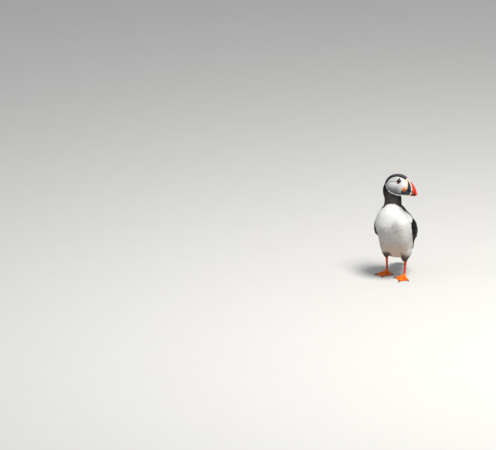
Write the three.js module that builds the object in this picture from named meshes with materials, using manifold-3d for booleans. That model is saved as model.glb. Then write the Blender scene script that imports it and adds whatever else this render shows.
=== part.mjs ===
// An Atlantic puffin at life size, standing upright on both webbed feet with its head turned to its left.
// Millimetres and +Z up. The trunk faces -Y and the bird's left is +X.
// The solids reach out to the tips of the plumage.

import * as THREE from "three";
import { mergeVertices } from "three/addons/utils/BufferGeometryUtils.js";
import Module from "manifold-3d";

const wasm = await Module();
wasm.setup();

// ---------------------------------------------------------------- driving dimensions

const GAP = 0.35; // clearance between pieces that touch
const SIDES = { left: 1, right: -1 }; // sign of X on each side of the bird

// Posture.
const HEAD_CENTRE = new THREE.Vector3(6.6, -13, 205.6);
const HEAD_YAW = 64; // degrees that the head is turned to the bird's left
const HEAD_PITCH = 1.5; // degrees that the bill points below level
const HEAD_ROLL = 17; // degrees that the crown leans towards the head's own left
const HEAD_SCALE = 0.93; // the head's and bill's sizes below are for a large bird
const NECK_CUT = 168; // height of the parting between neck and trunk

// Bill, measured in the head's own frame.
const BILL_BASE = 21; // from the head's centre forward to the bill's base
const BILL_LENGTH = 38.5; // from its base to its tip
const BILL_TOP = 17; // culmen above the head's centre at the base
const BILL_BOTTOM = -21.5; // underside of the lower bill at the base
const BILL_TIP = -14.5; // height of the tip
const GAPE = -8.5; // height of the line between the two halves at the base
const GAPE_DROP = 3.5; // how far that line falls by the tip
const HOOK = 3.3; // how much further the upper half hooks over the lower at the tip
const BILL_HALF_WIDTH = 7.6;
const BILL_BOW = 4; // how far the middle of its base bulges towards the tip
const BILL_SEAT = 0.16; // the share of its length that the bill starts inside the face
const RIDGE_WIDTH = 3; // the pale horn ridge round the base of the upper bill
const RIDGE_RISE = 0.9;

// Eye, measured from the head's centre.
const EYE = new THREE.Vector3(12.8, -11, 7.2);
const EYE_RADIUS = 4.2;

// Legs.
const LEG_CENTRE = new THREE.Vector3(-1.5, 3, 0); // the middle of the two ankles
const STANCE = 20.5; // from there to each ankle
const STRIDE = 11; // how far forward of it the left foot stands, and the right foot behind it
const FOOT_TURN = 5; // degrees that both feet point to the bird's right
const ANKLE_HEIGHT = 8;
const HEEL_HEIGHT = 33;
const HEEL_BACK = 6; // how far the heel joint is behind the ankle
const HEEL_OUT = 2; // and how far outside it
const LEFT_HAUNCH = 2.6; // how much further out the left thigh swells than the right one
const TOES = {
  inner: { length: 22.3, angle: 47, thick: 2.3, claw: 3.7 },
  middle: { length: 36.6, angle: 0, thick: 2.7, claw: 4.9 },
  outer: { length: 31, angle: -34, thick: 2.5, claw: 3.5 },
};
const WEB_THICKNESS = 1.2;
const WEB_LIFT = 0.5;

// ---------------------------------------------------------------- materials

const finish = (color, roughness) => new THREE.MeshStandardMaterial({ color, roughness, metalness: 0 });
const MATERIALS = {
  white_plumage: finish(0xf2f1ee, 0.85),
  black_plumage: finish(0x1b191b, 0.7),
  face_plumage: finish(0xd9d9da, 0.85),
  leg_skin: finish(0xe8500f, 0.5),
  claw_horn: finish(0x1d1a18, 0.4),
  bill_horn: finish(0xd8341a, 0.4),
  rosette_skin: finish(0xf08a12, 0.55),
  eye_ball: finish(0x140c0a, 0.08),
  eye_plate: finish(0x4b545e, 0.5),
};

// ---------------------------------------------------------------- helpers

const radians = THREE.MathUtils.degToRad;
const lerp = THREE.MathUtils.lerp;
const point = (x, y, z) => new THREE.Vector3(x, y, z);
const rounded = (value, power) => Math.sign(value) * Math.abs(value) ** (2 / power);

// A unit sphere whose points are moved: row goes from 0 to 1 between the poles, angle once round.
function wrapSphere(columns, rows, place) {
  const sphere = new THREE.SphereGeometry(1, columns, rows);
  sphere.deleteAttribute("normal");
  sphere.deleteAttribute("uv");
  const shell = mergeVertices(sphere, 1e-4);
  const points = shell.getAttribute("position");
  const from = new THREE.Vector3();
  for (let i = 0; i < points.count; i++) {
    from.fromBufferAttribute(points, i);
    const row = Math.acos(THREE.MathUtils.clamp(from.y, -1, 1)) / Math.PI;
    const to = place(row, Math.atan2(from.z, from.x));
    points.setXYZ(i, to.x, to.y, to.z);
  }
  return shell;
}

// How full a closed form is at a share of its length: 1 over most of it and 0 at both ends.
const capAt = (row, blunt) => (1 - Math.abs(2 * row - 1) ** blunt) ** (1 / blunt);

// A form lofted through stations { at, side, front, back }: its half-width, and its depth on the two
// faces of the curve. Seen along the curve, front is the curve's direction crossed with X.
// square above 2 makes the sections boxy, and blunt sets how full the ends are.
function loft(stations, { columns, rows, square = 2, blunt = 4, grow = 0 }) {
  const spine = new THREE.CatmullRomCurve3(stations.map((s) => point(...s.at)));
  const sizes = new THREE.CatmullRomCurve3(stations.map((s) => point(s.side, s.front, s.back)));
  return wrapSphere(columns, rows, (row, angle) => {
    const cap = capAt(row, blunt);
    const size = sizes.getPoint(row);
    const along = spine.getTangent(row);
    const front = along.clone().cross(point(1, 0, 0)).normalize();
    const side = front.clone().cross(along);
    const c = rounded(Math.cos(angle), square);
    const s = rounded(Math.sin(angle), square);
    return spine
      .getPoint(row)
      .addScaledVector(side, (size.x + grow) * c * cap)
      .addScaledVector(front, ((s > 0 ? size.y : size.z) + grow) * s * cap)
      .addScaledVector(along, grow * (2 * row - 1));
  });
}

// A manifold solid with its faces pointing out, from a closed geometry.
function solid(geometry, matrix = new THREE.Matrix4()) {
  const shell = geometry.clone().applyMatrix4(matrix);
  for (const name of ["normal", "uv"]) shell.deleteAttribute(name);
  const merged = mergeVertices(shell, 1e-4);
  const vertProperties = new Float32Array(merged.attributes.position.array);
  const triVerts = new Uint32Array(merged.index.array);
  const made = new wasm.Manifold(new wasm.Mesh({ numProp: 3, vertProperties, triVerts }));
  if (made.volume() > 0) return made;
  for (let i = 0; i < triVerts.length; i += 3) {
    [triVerts[i], triVerts[i + 1]] = [triVerts[i + 1], triVerts[i]];
  }
  return new wasm.Manifold(new wasm.Mesh({ numProp: 3, vertProperties, triVerts }));
}

const joined = (...solids) => solids.reduce((sum, next) => sum.add(next));
const cutBy = (from, ...cutters) => cutters.reduce((left, cutter) => left.subtract(cutter), from);

// A box between two corners.
function block(low, high, matrix) {
  const size = high.clone().sub(low);
  const centre = high.clone().add(low).multiplyScalar(0.5);
  const box = new THREE.BoxGeometry(size.x, size.y, size.z);
  return solid(box.translate(centre.x, centre.y, centre.z), matrix);
}
const FAR = 400;
const above = (z) => block(point(-FAR, -FAR, z), point(FAR, FAR, FAR));
const below = (z) => block(point(-FAR, -FAR, -FAR), point(FAR, FAR, z));

// The largest body of a solid: a cut can leave slivers.
const largest = (from) =>
  from.decompose().reduce((best, next) => (next.volume() > best.volume() ? next : best));

const bird = new THREE.Group();

function addNode(name, from, material) {
  const { numProp, vertProperties, triVerts } = largest(from).getMesh();
  const places = new Float32Array((vertProperties.length / numProp) * 3);
  for (let i = 0; i < places.length / 3; i++) {
    places.set(vertProperties.subarray(i * numProp, i * numProp + 3), i * 3);
  }
  const geometry = new THREE.BufferGeometry();
  geometry.setAttribute("position", new THREE.BufferAttribute(places, 3));
  geometry.setIndex(new THREE.BufferAttribute(new Uint32Array(triVerts), 1));
  geometry.computeVertexNormals();
  const mesh = new THREE.Mesh(geometry, MATERIALS[material]);
  mesh.name = name;
  bird.add(mesh);
}

// ---------------------------------------------------------------- trunk and neck

// From inside the head down the neck, breast and belly, and back to the root of the tail.
const TRUNK_STATIONS = [
  { at: [0, -11, 208], side: 20, front: 16, back: 19.5 },
  { at: [-5.6, -9, 190], side: 23, front: 20, back: 20 },
  { at: [-5, -10, 174], side: 18.8, front: 19, back: 21 },
  { at: [-4.2, -12, 158], side: 19.4, front: 23, back: 25 },
  { at: [-4.3, -14, 143], side: 31.2, front: 31, back: 33 },
  { at: [-1.9, -14, 124], side: 41.2, front: 38, back: 37.5 },
  { at: [2, -13, 104], side: 39.5, front: 40, back: 40.5 },
  { at: [2.3, -9, 84], side: 36.5, front: 38, back: 44 },
  { at: [2.3, -2, 67], side: 36, front: 31, back: 41.5 },
  { at: [2, 12, 52], side: 24, front: 18, back: 28 },
  { at: [1.5, 30, 43], side: 18, front: 9, back: 14 },
  { at: [1, 47, 36], side: 12, front: 4, back: 5 },
];
const trunkForm = (grow = 0) =>
  solid(loft(TRUNK_STATIONS, { columns: 25, rows: 22, square: 2.15, grow }));

// ---------------------------------------------------------------- head

const headPose = new THREE.Matrix4().compose(
  HEAD_CENTRE,
  new THREE.Quaternion().setFromEuler(
    new THREE.Euler(radians(HEAD_PITCH), radians(HEAD_ROLL), radians(HEAD_YAW), "ZXY"),
  ),
  point(HEAD_SCALE, HEAD_SCALE, HEAD_SCALE),
);

// From the nape forward to the bill, in the head's own frame: front is its underside here.
const HEAD_STATIONS = [
  { at: [0, 27.5, -4], side: 7, front: 8, back: 7 },
  { at: [0, 21, -3], side: 15, front: 16.5, back: 15.5 },
  { at: [0, 9, -1.5], side: 20.5, front: 22, back: 22 },
  { at: [0, -3, 0], side: 19.8, front: 23.5, back: 23.5 },
  { at: [0, -12, 0], side: 15.4, front: 22.5, back: 21.8 },
  { at: [0, -19.5, -1], side: 10.2, front: 20.3, back: 18 },
  { at: [0, -26, -1.5], side: 7, front: 14, back: 12 },
];
const headForm = (grow = 0) =>
  solid(loft(HEAD_STATIONS, { columns: 22, rows: 15, square: 2.2, blunt: 5, grow }), headPose);

// ---------------------------------------------------------------- bill

// Height of the culmen at a share of the bill's length: a convex arc that hooks down at the tip.
const culmen = (share) => lerp(BILL_TOP, BILL_TIP, 0.55 * share + 0.45 * Math.max(0, share) ** 4);
const gapeLine = (share) => GAPE - GAPE_DROP * share - HOOK * Math.max(0, share) ** 6;
const underside = (share) => lerp(BILL_BOTTOM, BILL_TIP - 1, Math.max(0, share) ** 1.5);
const billWidth = (share) => BILL_HALF_WIDTH * (1 - 0.9 * Math.max(0, share) ** 1.3) + 0.3;

// One half of the bill between a top and a bottom line, narrowing towards its outer edge.
function billHalf(top, bottom, outerIsTop, { from = -BILL_SEAT, to = 1, grow = 0, rows = 12 } = {}) {
  const form = wrapSphere(14, rows, (row, angle) => {
    const share = lerp(from, to, row);
    const cap = capAt(row, 14);
    const high = top(share) + grow;
    const low = bottom(share) - grow;
    const s = rounded(Math.sin(angle), 2.6);
    const outer = (outerIsTop ? 1 + s : 1 - s) / 2;
    const width = (billWidth(share) + grow) * (1 - 0.6 * outer ** 1.8);
    const height = (high + low) / 2 + ((high - low) / 2) * s * cap;
    const middle = (BILL_TOP + BILL_BOTTOM) / 2;
    const bow = BILL_BOW * (1 - share) * (1 - ((height - middle) / (BILL_TOP - middle)) ** 2);
    return point(
      rounded(Math.cos(angle), 2.6) * width * cap,
      -BILL_BASE - BILL_LENGTH * share - bow + grow * (1 - 2 * row),
      height,
    );
  });
  return solid(form, headPose);
}
const upperLine = (share) => gapeLine(share) + GAP / 2;
const lowerLine = (share) => gapeLine(share) - GAP / 2;
const upperHalf = (grow = 0) => billHalf(culmen, upperLine, true, { grow });
const lowerHalf = (grow = 0) => billHalf(lowerLine, underside, false, { to: 0.87, rows: 8, grow });

// The horn ridge that stands round the base of the upper bill.
function ridge() {
  const raised = (share) => culmen(share) + RIDGE_RISE;
  const reach = { from: -0.1, to: RIDGE_WIDTH / BILL_LENGTH, grow: RIDGE_RISE };
  const band = billHalf(raised, upperLine, true, reach);
  return band.intersect(block(point(-FAR, -FAR, GAPE + GAP), point(FAR, FAR, FAR), headPose));
}

// ---------------------------------------------------------------- eyes and face ornaments

const mirrored = (vector, side) => point(vector.x * side, vector.y, vector.z);

function eyeBall(side, grow = 0) {
  const at = mirrored(EYE, side);
  return solid(new THREE.SphereGeometry(EYE_RADIUS + grow, 12, 8).translate(at.x, at.y, at.z), headPose);
}

// A rounded plate on the side of the face: half its length, half its height and half its depth.
const ORNAMENTS = {
  gape_rosette: {
    at: point(8.5, -26.3, -8.1), size: [4, 4.3, 2.2], faces: point(0.8, -0.6, 0), material: "rosette_skin",
  },
  eye_plate_upper: {
    at: point(14, -11, 13.2), size: [1.9, 2.4, 1.7], faces: point(0.85, -0.4, 0.3), material: "eye_plate",
  },
  eye_plate_lower: {
    at: point(16, -11, 1.6), size: [3.6, 1.2, 1.4], faces: point(0.88, -0.46, 0), material: "eye_plate",
  },
};
function ornament({ at, size, faces }, side, grow = 0) {
  const [length, height, depth] = size.map((value) => value + grow);
  const form = new THREE.SphereGeometry(1, 10, 6).scale(length, height, depth);
  const turn = new THREE.Matrix4().lookAt(mirrored(faces, side), point(0, 0, 0), point(0, 0, 1));
  turn.setPosition(mirrored(at, side));
  return solid(form.applyMatrix4(turn), headPose);
}

// ---------------------------------------------------------------- wings

// The folded wings lie on an elliptical mantle round the back. Each row gives the height, the mantle's
// centre, half-width and depth, how far the left wing's shoulder is drawn in below the turned neck,
// the angles of the wing's two edges round it from the bird's flank towards its spine, and half the
// wing's thickness.
const WING_CENTRE = 1.5; // the mantle's own X
const WING_STATIONS = [
  { z: 155, y: -11, wide: 21, tuck: 7.5, deep: 26, edge: 16, inner: 50, thick: 2 },
  { z: 146, y: -12, wide: 25.5, tuck: 8, deep: 30, edge: 0, inner: 70, thick: 3.6 },
  { z: 133, y: -12, wide: 34, tuck: 5.5, deep: 35, edge: -8, inner: 78, thick: 4.8 },
  { z: 118, y: -12, wide: 41, tuck: 1.5, deep: 39, edge: -18, inner: 80, thick: 5 },
  { z: 103, y: -10, wide: 42.5, tuck: 0, deep: 40, edge: -22, inner: 80, thick: 4.6 },
  { z: 90, y: -6, wide: 41, tuck: 0, deep: 40, edge: -16, inner: 79, thick: 4 },
  { z: 76, y: -2, wide: 38.8, tuck: 0, deep: 40, edge: 19, inner: 77, thick: 3.2 },
  { z: 60, y: 2, wide: 36.3, tuck: 0, deep: 41, edge: 27, inner: 73, thick: 2.2 },
  { z: 44, y: 5, wide: 37.5, tuck: 0, deep: 44, edge: 34, inner: 66, thick: 1.4 },
];
function wingForm(side, grow = 0) {
  const curve = (...keys) =>
    new THREE.CatmullRomCurve3(WING_STATIONS.map((s) => point(...keys.map((key) => s[key]))));
  const mantle = curve("y", "wide", "deep");
  const span = curve("z", "edge", "inner");
  const body = curve("z", "thick", "tuck");
  return solid(wrapSphere(16, 16, (row, angle) => {
    const cap = capAt(row, 5);
    const [centre, wide, deep] = mantle.getPoint(row).toArray();
    const [z, edge, inner] = span.getPoint(row).toArray();
    const chord = Math.cos(angle) * cap;
    const turn = radians(lerp(edge, inner, (chord + 1) / 2));
    const [, thick, tuck] = body.getPoint(row).toArray();
    const lift = rounded(Math.sin(angle), 2.4) * (thick * cap + grow);
    const reach = wide - (side > 0 ? tuck : 0) + lift;
    return point(
      WING_CENTRE + side * reach * Math.cos(turn),
      centre + (deep + lift) * Math.sin(turn),
      z - 4 * chord,
    );
  }));
}

// ---------------------------------------------------------------- tail

const TAIL_STATIONS = [
  { at: [1.5, 24, 50], side: 14, front: 8, back: 9 },
  { at: [1, 37, 43], side: 14, front: 5.5, back: 6.5 },
  { at: [1, 52, 35], side: 15, front: 3, back: 3.6 },
  { at: [1, 66, 28.5], side: 15, front: 1.7, back: 2 },
  { at: [1, 78, 24], side: 11, front: 1, back: 1.1 },
];
const tailForm = (grow = 0) =>
  solid(loft(TAIL_STATIONS, { columns: 16, rows: 10, square: 2.3, blunt: 4, grow }));

// ---------------------------------------------------------------- legs and feet

const anklePlace = (side) => LEG_CENTRE.clone().add(point(side * STANCE, -side * STRIDE, 0));

function thighForm(side) {
  const { x, y } = anklePlace(side);
  const heel = x + side * HEEL_OUT;
  const haunch = side > 0 ? LEFT_HAUNCH : 0;
  const stations = [
    { at: [2 + side * 17 + haunch, -5 + y * 0.4, 74], side: 14.5, front: 17.5, back: 16 },
    { at: [1 + side * 20.5 + haunch, -5 + y * 0.7, 57], side: 13.3, front: 17.5, back: 15 },
    { at: [heel - side * 0.5, y + 1.8, 44], side: 10, front: 12, back: 10.5 },
    { at: [heel, y + HEEL_BACK, HEEL_HEIGHT - 3], side: 4.8, front: 5.2, back: 5.2 },
  ];
  return solid(loft(stations, { columns: 16, rows: 10, blunt: 5 }));
}

function tarsusForm(side, grow = 0) {
  const { x, y } = anklePlace(side);
  const along = (height) => {
    const share = height / HEEL_HEIGHT;
    return [x + side * HEEL_OUT * share, y + HEEL_BACK * share, height];
  };
  const stations = [
    { at: along(HEEL_HEIGHT + 6), side: 2.7, front: 2.8, back: 2.8 },
    { at: along(HEEL_HEIGHT), side: 3.1, front: 3.2, back: 3.4 },
    { at: along(HEEL_HEIGHT - 7), side: 2.4, front: 2.6, back: 3.1 },
    { at: along(HEEL_HEIGHT / 2), side: 2.1, front: 2.5, back: 2.9 },
    { at: along(ANKLE_HEIGHT), side: 2.5, front: 2.8, back: 2.8 },
    { at: along(1), side: 3, front: 3.2, back: 2.4 },
  ];
  return solid(loft(stations, { columns: 8, rows: 8, blunt: 10, grow }));
}

// Where a foot's own frame stands: its middle toe runs along its -Y.
const footPose = (side) =>
  new THREE.Matrix4().makeRotationZ(radians(-FOOT_TURN)).setPosition(anklePlace(side));
const toePose = (toe, side) =>
  footPose(side).multiply(new THREE.Matrix4().makeRotationZ(radians(-side * toe.angle)));

// A toe from behind the ankle outwards: low, with a pad at each joint, and rising to the ankle at its root.
function toeForm({ length, thick }) {
  return wrapSphere(6, 8, (row, angle) => {
    const cap = capAt(row, 6);
    const joint = 1 + 0.09 * Math.cos(row * Math.PI * 6);
    const size = thick * lerp(1, 0.68, row) * joint;
    const s = Math.sin(angle);
    const rise = 4 * (1 - row) ** 3;
    return point(
      Math.cos(angle) * size * cap,
      3 - (length + 3) * row,
      size * 0.72 + s * size * cap + (s > 0 ? rise * s * cap : 0),
    );
  });
}

// The web between the three toes, with a hollow front edge between each pair.
function webForm(side) {
  const ends = ["inner", "middle", "outer"].map((name) => {
    const { length, angle } = TOES[name];
    const turn = new THREE.Matrix4().makeRotationZ(radians(-side * angle));
    return point(0, -length * 0.95, 0).applyMatrix4(turn);
  });
  const outline = new THREE.Shape();
  outline.moveTo(0, 2);
  outline.lineTo(ends[0].x, ends[0].y);
  for (const next of [1, 2]) {
    const hollow = ends[next - 1].clone().add(ends[next]).multiplyScalar(0.5 * 0.95);
    outline.quadraticCurveTo(hollow.x, hollow.y, ends[next].x, ends[next].y);
  }
  outline.closePath();
  const plate = new THREE.ExtrudeGeometry(outline, {
    depth: WEB_THICKNESS,
    bevelEnabled: false,
    curveSegments: 3,
  });
  return plate.translate(0, 0, WEB_LIFT);
}

function footForm(side) {
  const toes = Object.values(TOES).map((toe) => solid(toeForm(toe), toePose(toe, side)));
  const ankle = tarsusForm(side).intersect(below(ANKLE_HEIGHT - GAP));
  return joined(ankle, solid(webForm(side), footPose(side)), ...toes).intersect(above(0));
}

// A claw beyond a toe's end, curving down to just clear of the floor.
function clawForm({ length, thick, claw }) {
  return wrapSphere(6, 6, (row, angle) => {
    const size = thick * 0.52 * (1 - row ** 1.5) + 0.28;
    const cap = capAt(row, 8);
    return point(
      Math.cos(angle) * size * 0.8 * cap,
      -length + 2 - (claw + 2) * row,
      0.65 + thick * 0.62 * (1 - row ** 2) + size * Math.sin(angle) * cap,
    );
  });
}

// ---------------------------------------------------------------- the bird

const trunk = trunkForm();
const trunkRoom = trunkForm(GAP);
const headRoom = headForm(GAP);

const fittings = [upperHalf(GAP), lowerHalf(GAP)];
for (const side of Object.values(SIDES)) {
  fittings.push(eyeBall(side, GAP));
  for (const kind of Object.values(ORNAMENTS)) fittings.push(ornament(kind, side, GAP));
}
addNode("head", cutBy(headForm(), ...fittings), "face_plumage");
addNode("neck", cutBy(trunk.intersect(above(NECK_CUT + GAP / 2)), headRoom, lowerHalf(GAP)), "black_plumage");
const trunkOnly = trunk.intersect(below(NECK_CUT - GAP / 2));
addNode("trunk", trunkOnly, "white_plumage");

const upperBill = joined(upperHalf(), cutBy(ridge(), headRoom));
const billRoom = joined(upperHalf(GAP), lowerHalf(GAP));
addNode("upper_bill", upperBill, "bill_horn");
addNode("lower_bill", cutBy(lowerHalf(), upperHalf(GAP * 0.9)), "bill_horn");

const tail = cutBy(tailForm(), trunkRoom);
addNode("tail", tail, "black_plumage");

for (const [name, side] of Object.entries(SIDES)) {
  const wing = cutBy(wingForm(side), trunkRoom, tailForm(GAP), headRoom, above(NECK_CUT));
  addNode(`wing_${name}`, wing, "black_plumage");

  const thigh = cutBy(thighForm(side), trunkRoom, tarsusForm(side, GAP), wingForm(side, GAP));
  addNode(`thigh_${name}`, thigh, "white_plumage");
  addNode(`tarsus_${name}`, cutBy(tarsusForm(side).intersect(above(ANKLE_HEIGHT)), trunkRoom), "leg_skin");

  const foot = footForm(side);
  addNode(`foot_${name}`, foot, "leg_skin");
  for (const [toeName, toe] of Object.entries(TOES)) {
    const reach = { length: toe.length + 1.5 * GAP, thick: toe.thick + GAP };
    const room = solid(toeForm(reach), toePose(toe, side));
    addNode(`claw_${toeName}_${name}`, cutBy(solid(clawForm(toe), toePose(toe, side)), room), "claw_horn");
  }

  addNode(`eye_${name}`, eyeBall(side), "eye_ball");
  for (const [kind, ornate] of Object.entries(ORNAMENTS)) {
    const set = cutBy(ornament(ornate, side), eyeBall(side, GAP), billRoom, ridge());
    addNode(`${kind}_${name}`, set, ornate.material);
  }
}

// Stands the bird on the floor with the middle of its extents over the origin.
const extents = new THREE.Box3().setFromObject(bird);
const middle = extents.getCenter(point(0, 0, 0));
for (const mesh of bird.children) mesh.geometry.translate(-middle.x, -middle.y, -extents.min.z);

export default bird;
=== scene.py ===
"""A life-size Atlantic puffin, standing, with its head turned to its left.

One skin stands for the nodes of flesh. Small closed feathers lie over it, and the bill, eyes,
legs and claws are pieces of their own. Shapes are worked out in millimetres, and the meshes
are made in metres, in the frame of the solids.
"""

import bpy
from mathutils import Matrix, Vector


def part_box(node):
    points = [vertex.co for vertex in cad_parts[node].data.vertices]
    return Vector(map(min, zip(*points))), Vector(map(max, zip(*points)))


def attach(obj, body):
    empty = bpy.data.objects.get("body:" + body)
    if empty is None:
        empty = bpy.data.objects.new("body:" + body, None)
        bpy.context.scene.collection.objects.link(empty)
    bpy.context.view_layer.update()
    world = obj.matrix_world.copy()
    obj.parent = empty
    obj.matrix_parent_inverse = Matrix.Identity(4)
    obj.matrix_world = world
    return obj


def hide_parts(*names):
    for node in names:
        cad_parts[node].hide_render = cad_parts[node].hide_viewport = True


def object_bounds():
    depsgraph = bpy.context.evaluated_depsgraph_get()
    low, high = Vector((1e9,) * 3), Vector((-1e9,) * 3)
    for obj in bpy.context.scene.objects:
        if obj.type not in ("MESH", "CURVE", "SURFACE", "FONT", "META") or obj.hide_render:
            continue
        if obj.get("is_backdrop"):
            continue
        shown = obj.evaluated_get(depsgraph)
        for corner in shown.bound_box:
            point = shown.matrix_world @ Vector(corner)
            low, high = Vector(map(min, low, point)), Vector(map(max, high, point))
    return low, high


bl_info = {
    "name": "Atlantic puffin",
    "version": (1, 0, 0),
    "blender": (4, 5, 0),
    "location": "3D View > Sidebar > Puffin",
    "description": "Builds a life-size standing Atlantic puffin over its solid frame",
    "category": "Add Mesh",
}

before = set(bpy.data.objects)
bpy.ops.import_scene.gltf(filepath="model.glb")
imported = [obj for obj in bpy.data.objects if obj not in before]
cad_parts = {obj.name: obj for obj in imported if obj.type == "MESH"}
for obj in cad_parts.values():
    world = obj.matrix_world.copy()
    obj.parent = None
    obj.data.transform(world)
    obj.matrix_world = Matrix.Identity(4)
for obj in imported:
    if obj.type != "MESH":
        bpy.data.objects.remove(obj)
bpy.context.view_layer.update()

import math

import bmesh
import bpy
import numpy as np
from bpy.props import FloatProperty, FloatVectorProperty
from mathutils import Vector
from mathutils.bvhtree import BVHTree
from mathutils.kdtree import KDTree

MM = 0.001
TINT = "Tint"  # the layer of colours on each mesh
UNWRAP = "OFBake"  # the unwrap of each mesh of skin and feathers
BODY = "root"
SIDES = {"left": 1, "right": -1}
TOE_NAMES = ("inner", "middle", "outer")
FLESH = ("head", "neck", "trunk", "tail", "wing_left", "wing_right", "thigh_left", "thigh_right")
HEAD_PART, NECK_PART, TRUNK_PART, TAIL_PART = range(4)
WING_PARTS = (FLESH.index("wing_left"), FLESH.index("wing_right"))
THIGH_PARTS = (FLESH.index("thigh_left"), FLESH.index("thigh_right"))

# The upright line that the folded wings lie round: its X, and its Y at some heights.
MANTLE_X = -3.3
MANTLE_HEIGHTS = (44, 76, 103, 155)
MANTLE_BACKS = (-7.6, -14.6, -22.6, -23.6)


# ---- sums on many points at once

def unit(vectors):
    """Vectors of length 1."""
    length = np.linalg.norm(vectors, axis=-1, keepdims=True)
    return vectors / np.maximum(length, 1e-9)


def dot(a, b):
    """Row-by-row dot product."""
    return np.sum(a * b, axis=-1)


def ease(low, high, value):
    """0 below low, 1 above high and a smooth rise between them. low may be the greater."""
    share = np.clip((value - low) / (high - low), 0, 1)
    return share * share * (3 - 2 * share)


def bell(distance, width):
    """1 at no distance, falling away over a width."""
    return np.exp(-(distance / width) ** 2)


def near(points, place, width):
    """1 at a place, falling away round it over a width."""
    return bell(np.linalg.norm(points - place, axis=1), width)


def mixed(a, b, share):
    """Colours blended row by row."""
    share = np.asarray(share)[..., None]
    return a * (1 - share) + b * share


def tangent(vectors, ups):
    """The part of each vector that lies along the surface, as a direction."""
    return unit(vectors - ups * dot(vectors, ups)[:, None])


WAVE_COUNT = 6  # waves that add up to the smooth noise
WAVE_TOTAL = 2.6  # about the most that they add up to
WAVE_FINENESS = (0.7, 1.5)  # how much coarser and finer than the given size they are


def waves(points, size, seed):
    """Smooth noise of about -1 to 1 with features of about a size in millimetres."""
    draws = np.random.default_rng(seed)
    total = np.zeros(len(points))
    for _ in range(WAVE_COUNT):
        ray = unit(draws.normal(size=3)) * draws.uniform(*WAVE_FINENESS) * 2 * math.pi / size
        total += np.sin(points @ ray + draws.uniform(0, 2 * math.pi))
    return total / WAVE_TOTAL


def height_on(line, back):
    """Height of a line of (back, up) corners at places from front to back."""
    return np.interp(back, *zip(*line))


def nearest_on(points, line):
    """The place on a line of corners nearest to each point: its distance from the point, the
    stretch that it is in, the share of the stretch before it, and how far along the line it is."""
    steps = line[1:] - line[:-1]
    lengths = np.linalg.norm(steps, axis=1)
    starts = np.concatenate([[0], np.cumsum(lengths)[:-1]])
    best = np.full(len(points), np.inf)
    stretch = np.zeros(len(points), int)
    share = np.zeros(len(points))
    for i, (corner, step, length) in enumerate(zip(line, steps, lengths)):
        part = np.clip((points - corner) @ step / length ** 2, 0, 1)
        distance = np.linalg.norm(points - corner - part[:, None] * step, axis=1)
        nearer = distance < best
        best[nearer] = distance[nearer]
        stretch[nearer] = i
        share[nearer] = part[nearer]
    return best, stretch, share, starts[stretch] + share * lengths[stretch]


def line_distance(points, line):
    """Distance of flat points from a line of corners, and the share of its length they lie at."""
    line = np.asarray(line, float)
    distance, _, _, along = nearest_on(points, line)
    return distance, along / np.linalg.norm(line[1:] - line[:-1], axis=1).sum()


def inside_line(points, line):
    """True for flat points within a closed line of corners."""
    line = np.asarray(line, float)
    within = np.zeros(len(points), bool)
    across, up = points.T
    for (ax, ay), (bx, by) in zip(line, np.roll(line, -1, axis=0)):
        spans = (ay > up) != (by > up)
        rise = (by - ay) or 1e-9
        within ^= spans & (across < (bx - ax) * (up - ay) / rise + ax)
    return within


def depth_within(points, line):
    """Distance inside a closed line of corners, negative outside it."""
    distance, _ = line_distance(points, [*line, line[0]])
    return np.where(inside_line(points, line), distance, -distance)


# ---- meshes from arrays

def read(items, field, width, kind):
    """A field of all of a mesh's items, as rows of a width and a kind of number."""
    flat = np.empty(len(items) * width, kind)
    items.foreach_get(field, flat)
    return flat.reshape(-1, width)


MERGE_DIGITS = 7  # a solid's points that agree to this many digits of a metre are one


def shell_of(node):
    """A solid's points in millimetres, doubles merged, and its triangles."""
    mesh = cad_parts[node].data
    mesh.calc_loop_triangles()
    points = np.round(read(mesh.vertices, "co", 3, float), MERGE_DIGITS)
    merged, place = np.unique(points, axis=0, return_inverse=True)
    faces = place.reshape(-1)[read(mesh.loop_triangles, "vertices", 3, int)]
    a, b, c = faces.T
    return merged / MM, faces[(a != b) & (b != c) & (a != c)]


def point_normals(points, faces):
    """Normals at the points of a mesh of triangles."""
    a, b, c = [points[corner] for corner in faces.T]
    face_normals = np.cross(b - a, c - a)
    total = np.zeros_like(points)
    for corner in range(3):
        for axis in range(3):
            total[:, axis] += np.bincount(faces[:, corner], face_normals[:, axis], len(points))
    return unit(total)


def linked(name, data):
    """A new object in the scene that holds some data."""
    made = bpy.data.objects.new(name, data)
    bpy.context.scene.collection.objects.link(made)
    return made


def mesh_object(name, points, face_groups):
    """An object from points in millimetres and arrays of faces with 3 or 4 corners each."""
    face_groups = [group for group in face_groups if len(group)]
    corners = np.concatenate([group.ravel() for group in face_groups]).astype(np.int32)
    counts = np.concatenate([np.full(len(group), group.shape[1]) for group in face_groups])
    starts = np.concatenate([[0], np.cumsum(counts)[:-1]]).astype(np.int32)
    mesh = bpy.data.meshes.new(name)
    mesh.vertices.add(len(points))
    mesh.vertices.foreach_set("co", (points * MM).astype(np.float32).ravel())
    mesh.loops.add(len(corners))
    mesh.loops.foreach_set("vertex_index", corners)
    mesh.polygons.add(len(counts))
    mesh.polygons.foreach_set("loop_start", starts)
    mesh.update(calc_edges=True)
    mesh.shade_smooth()
    return linked(name, mesh)


def paint(made, colours):
    """Stores a colour at each point."""
    layer = made.data.color_attributes.new(name=TINT, type="FLOAT_COLOR", domain="POINT")
    rgba = np.ones((len(colours), 4), np.float32)
    rgba[:, :3] = colours
    layer.data.foreach_set("color", rgba.ravel())


def measure(made, values, name):
    """Stores a number at each point."""
    layer = made.data.attributes.new(name=name, type="FLOAT", domain="POINT")
    layer.data.foreach_set("value", np.asarray(values, np.float32))


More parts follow.
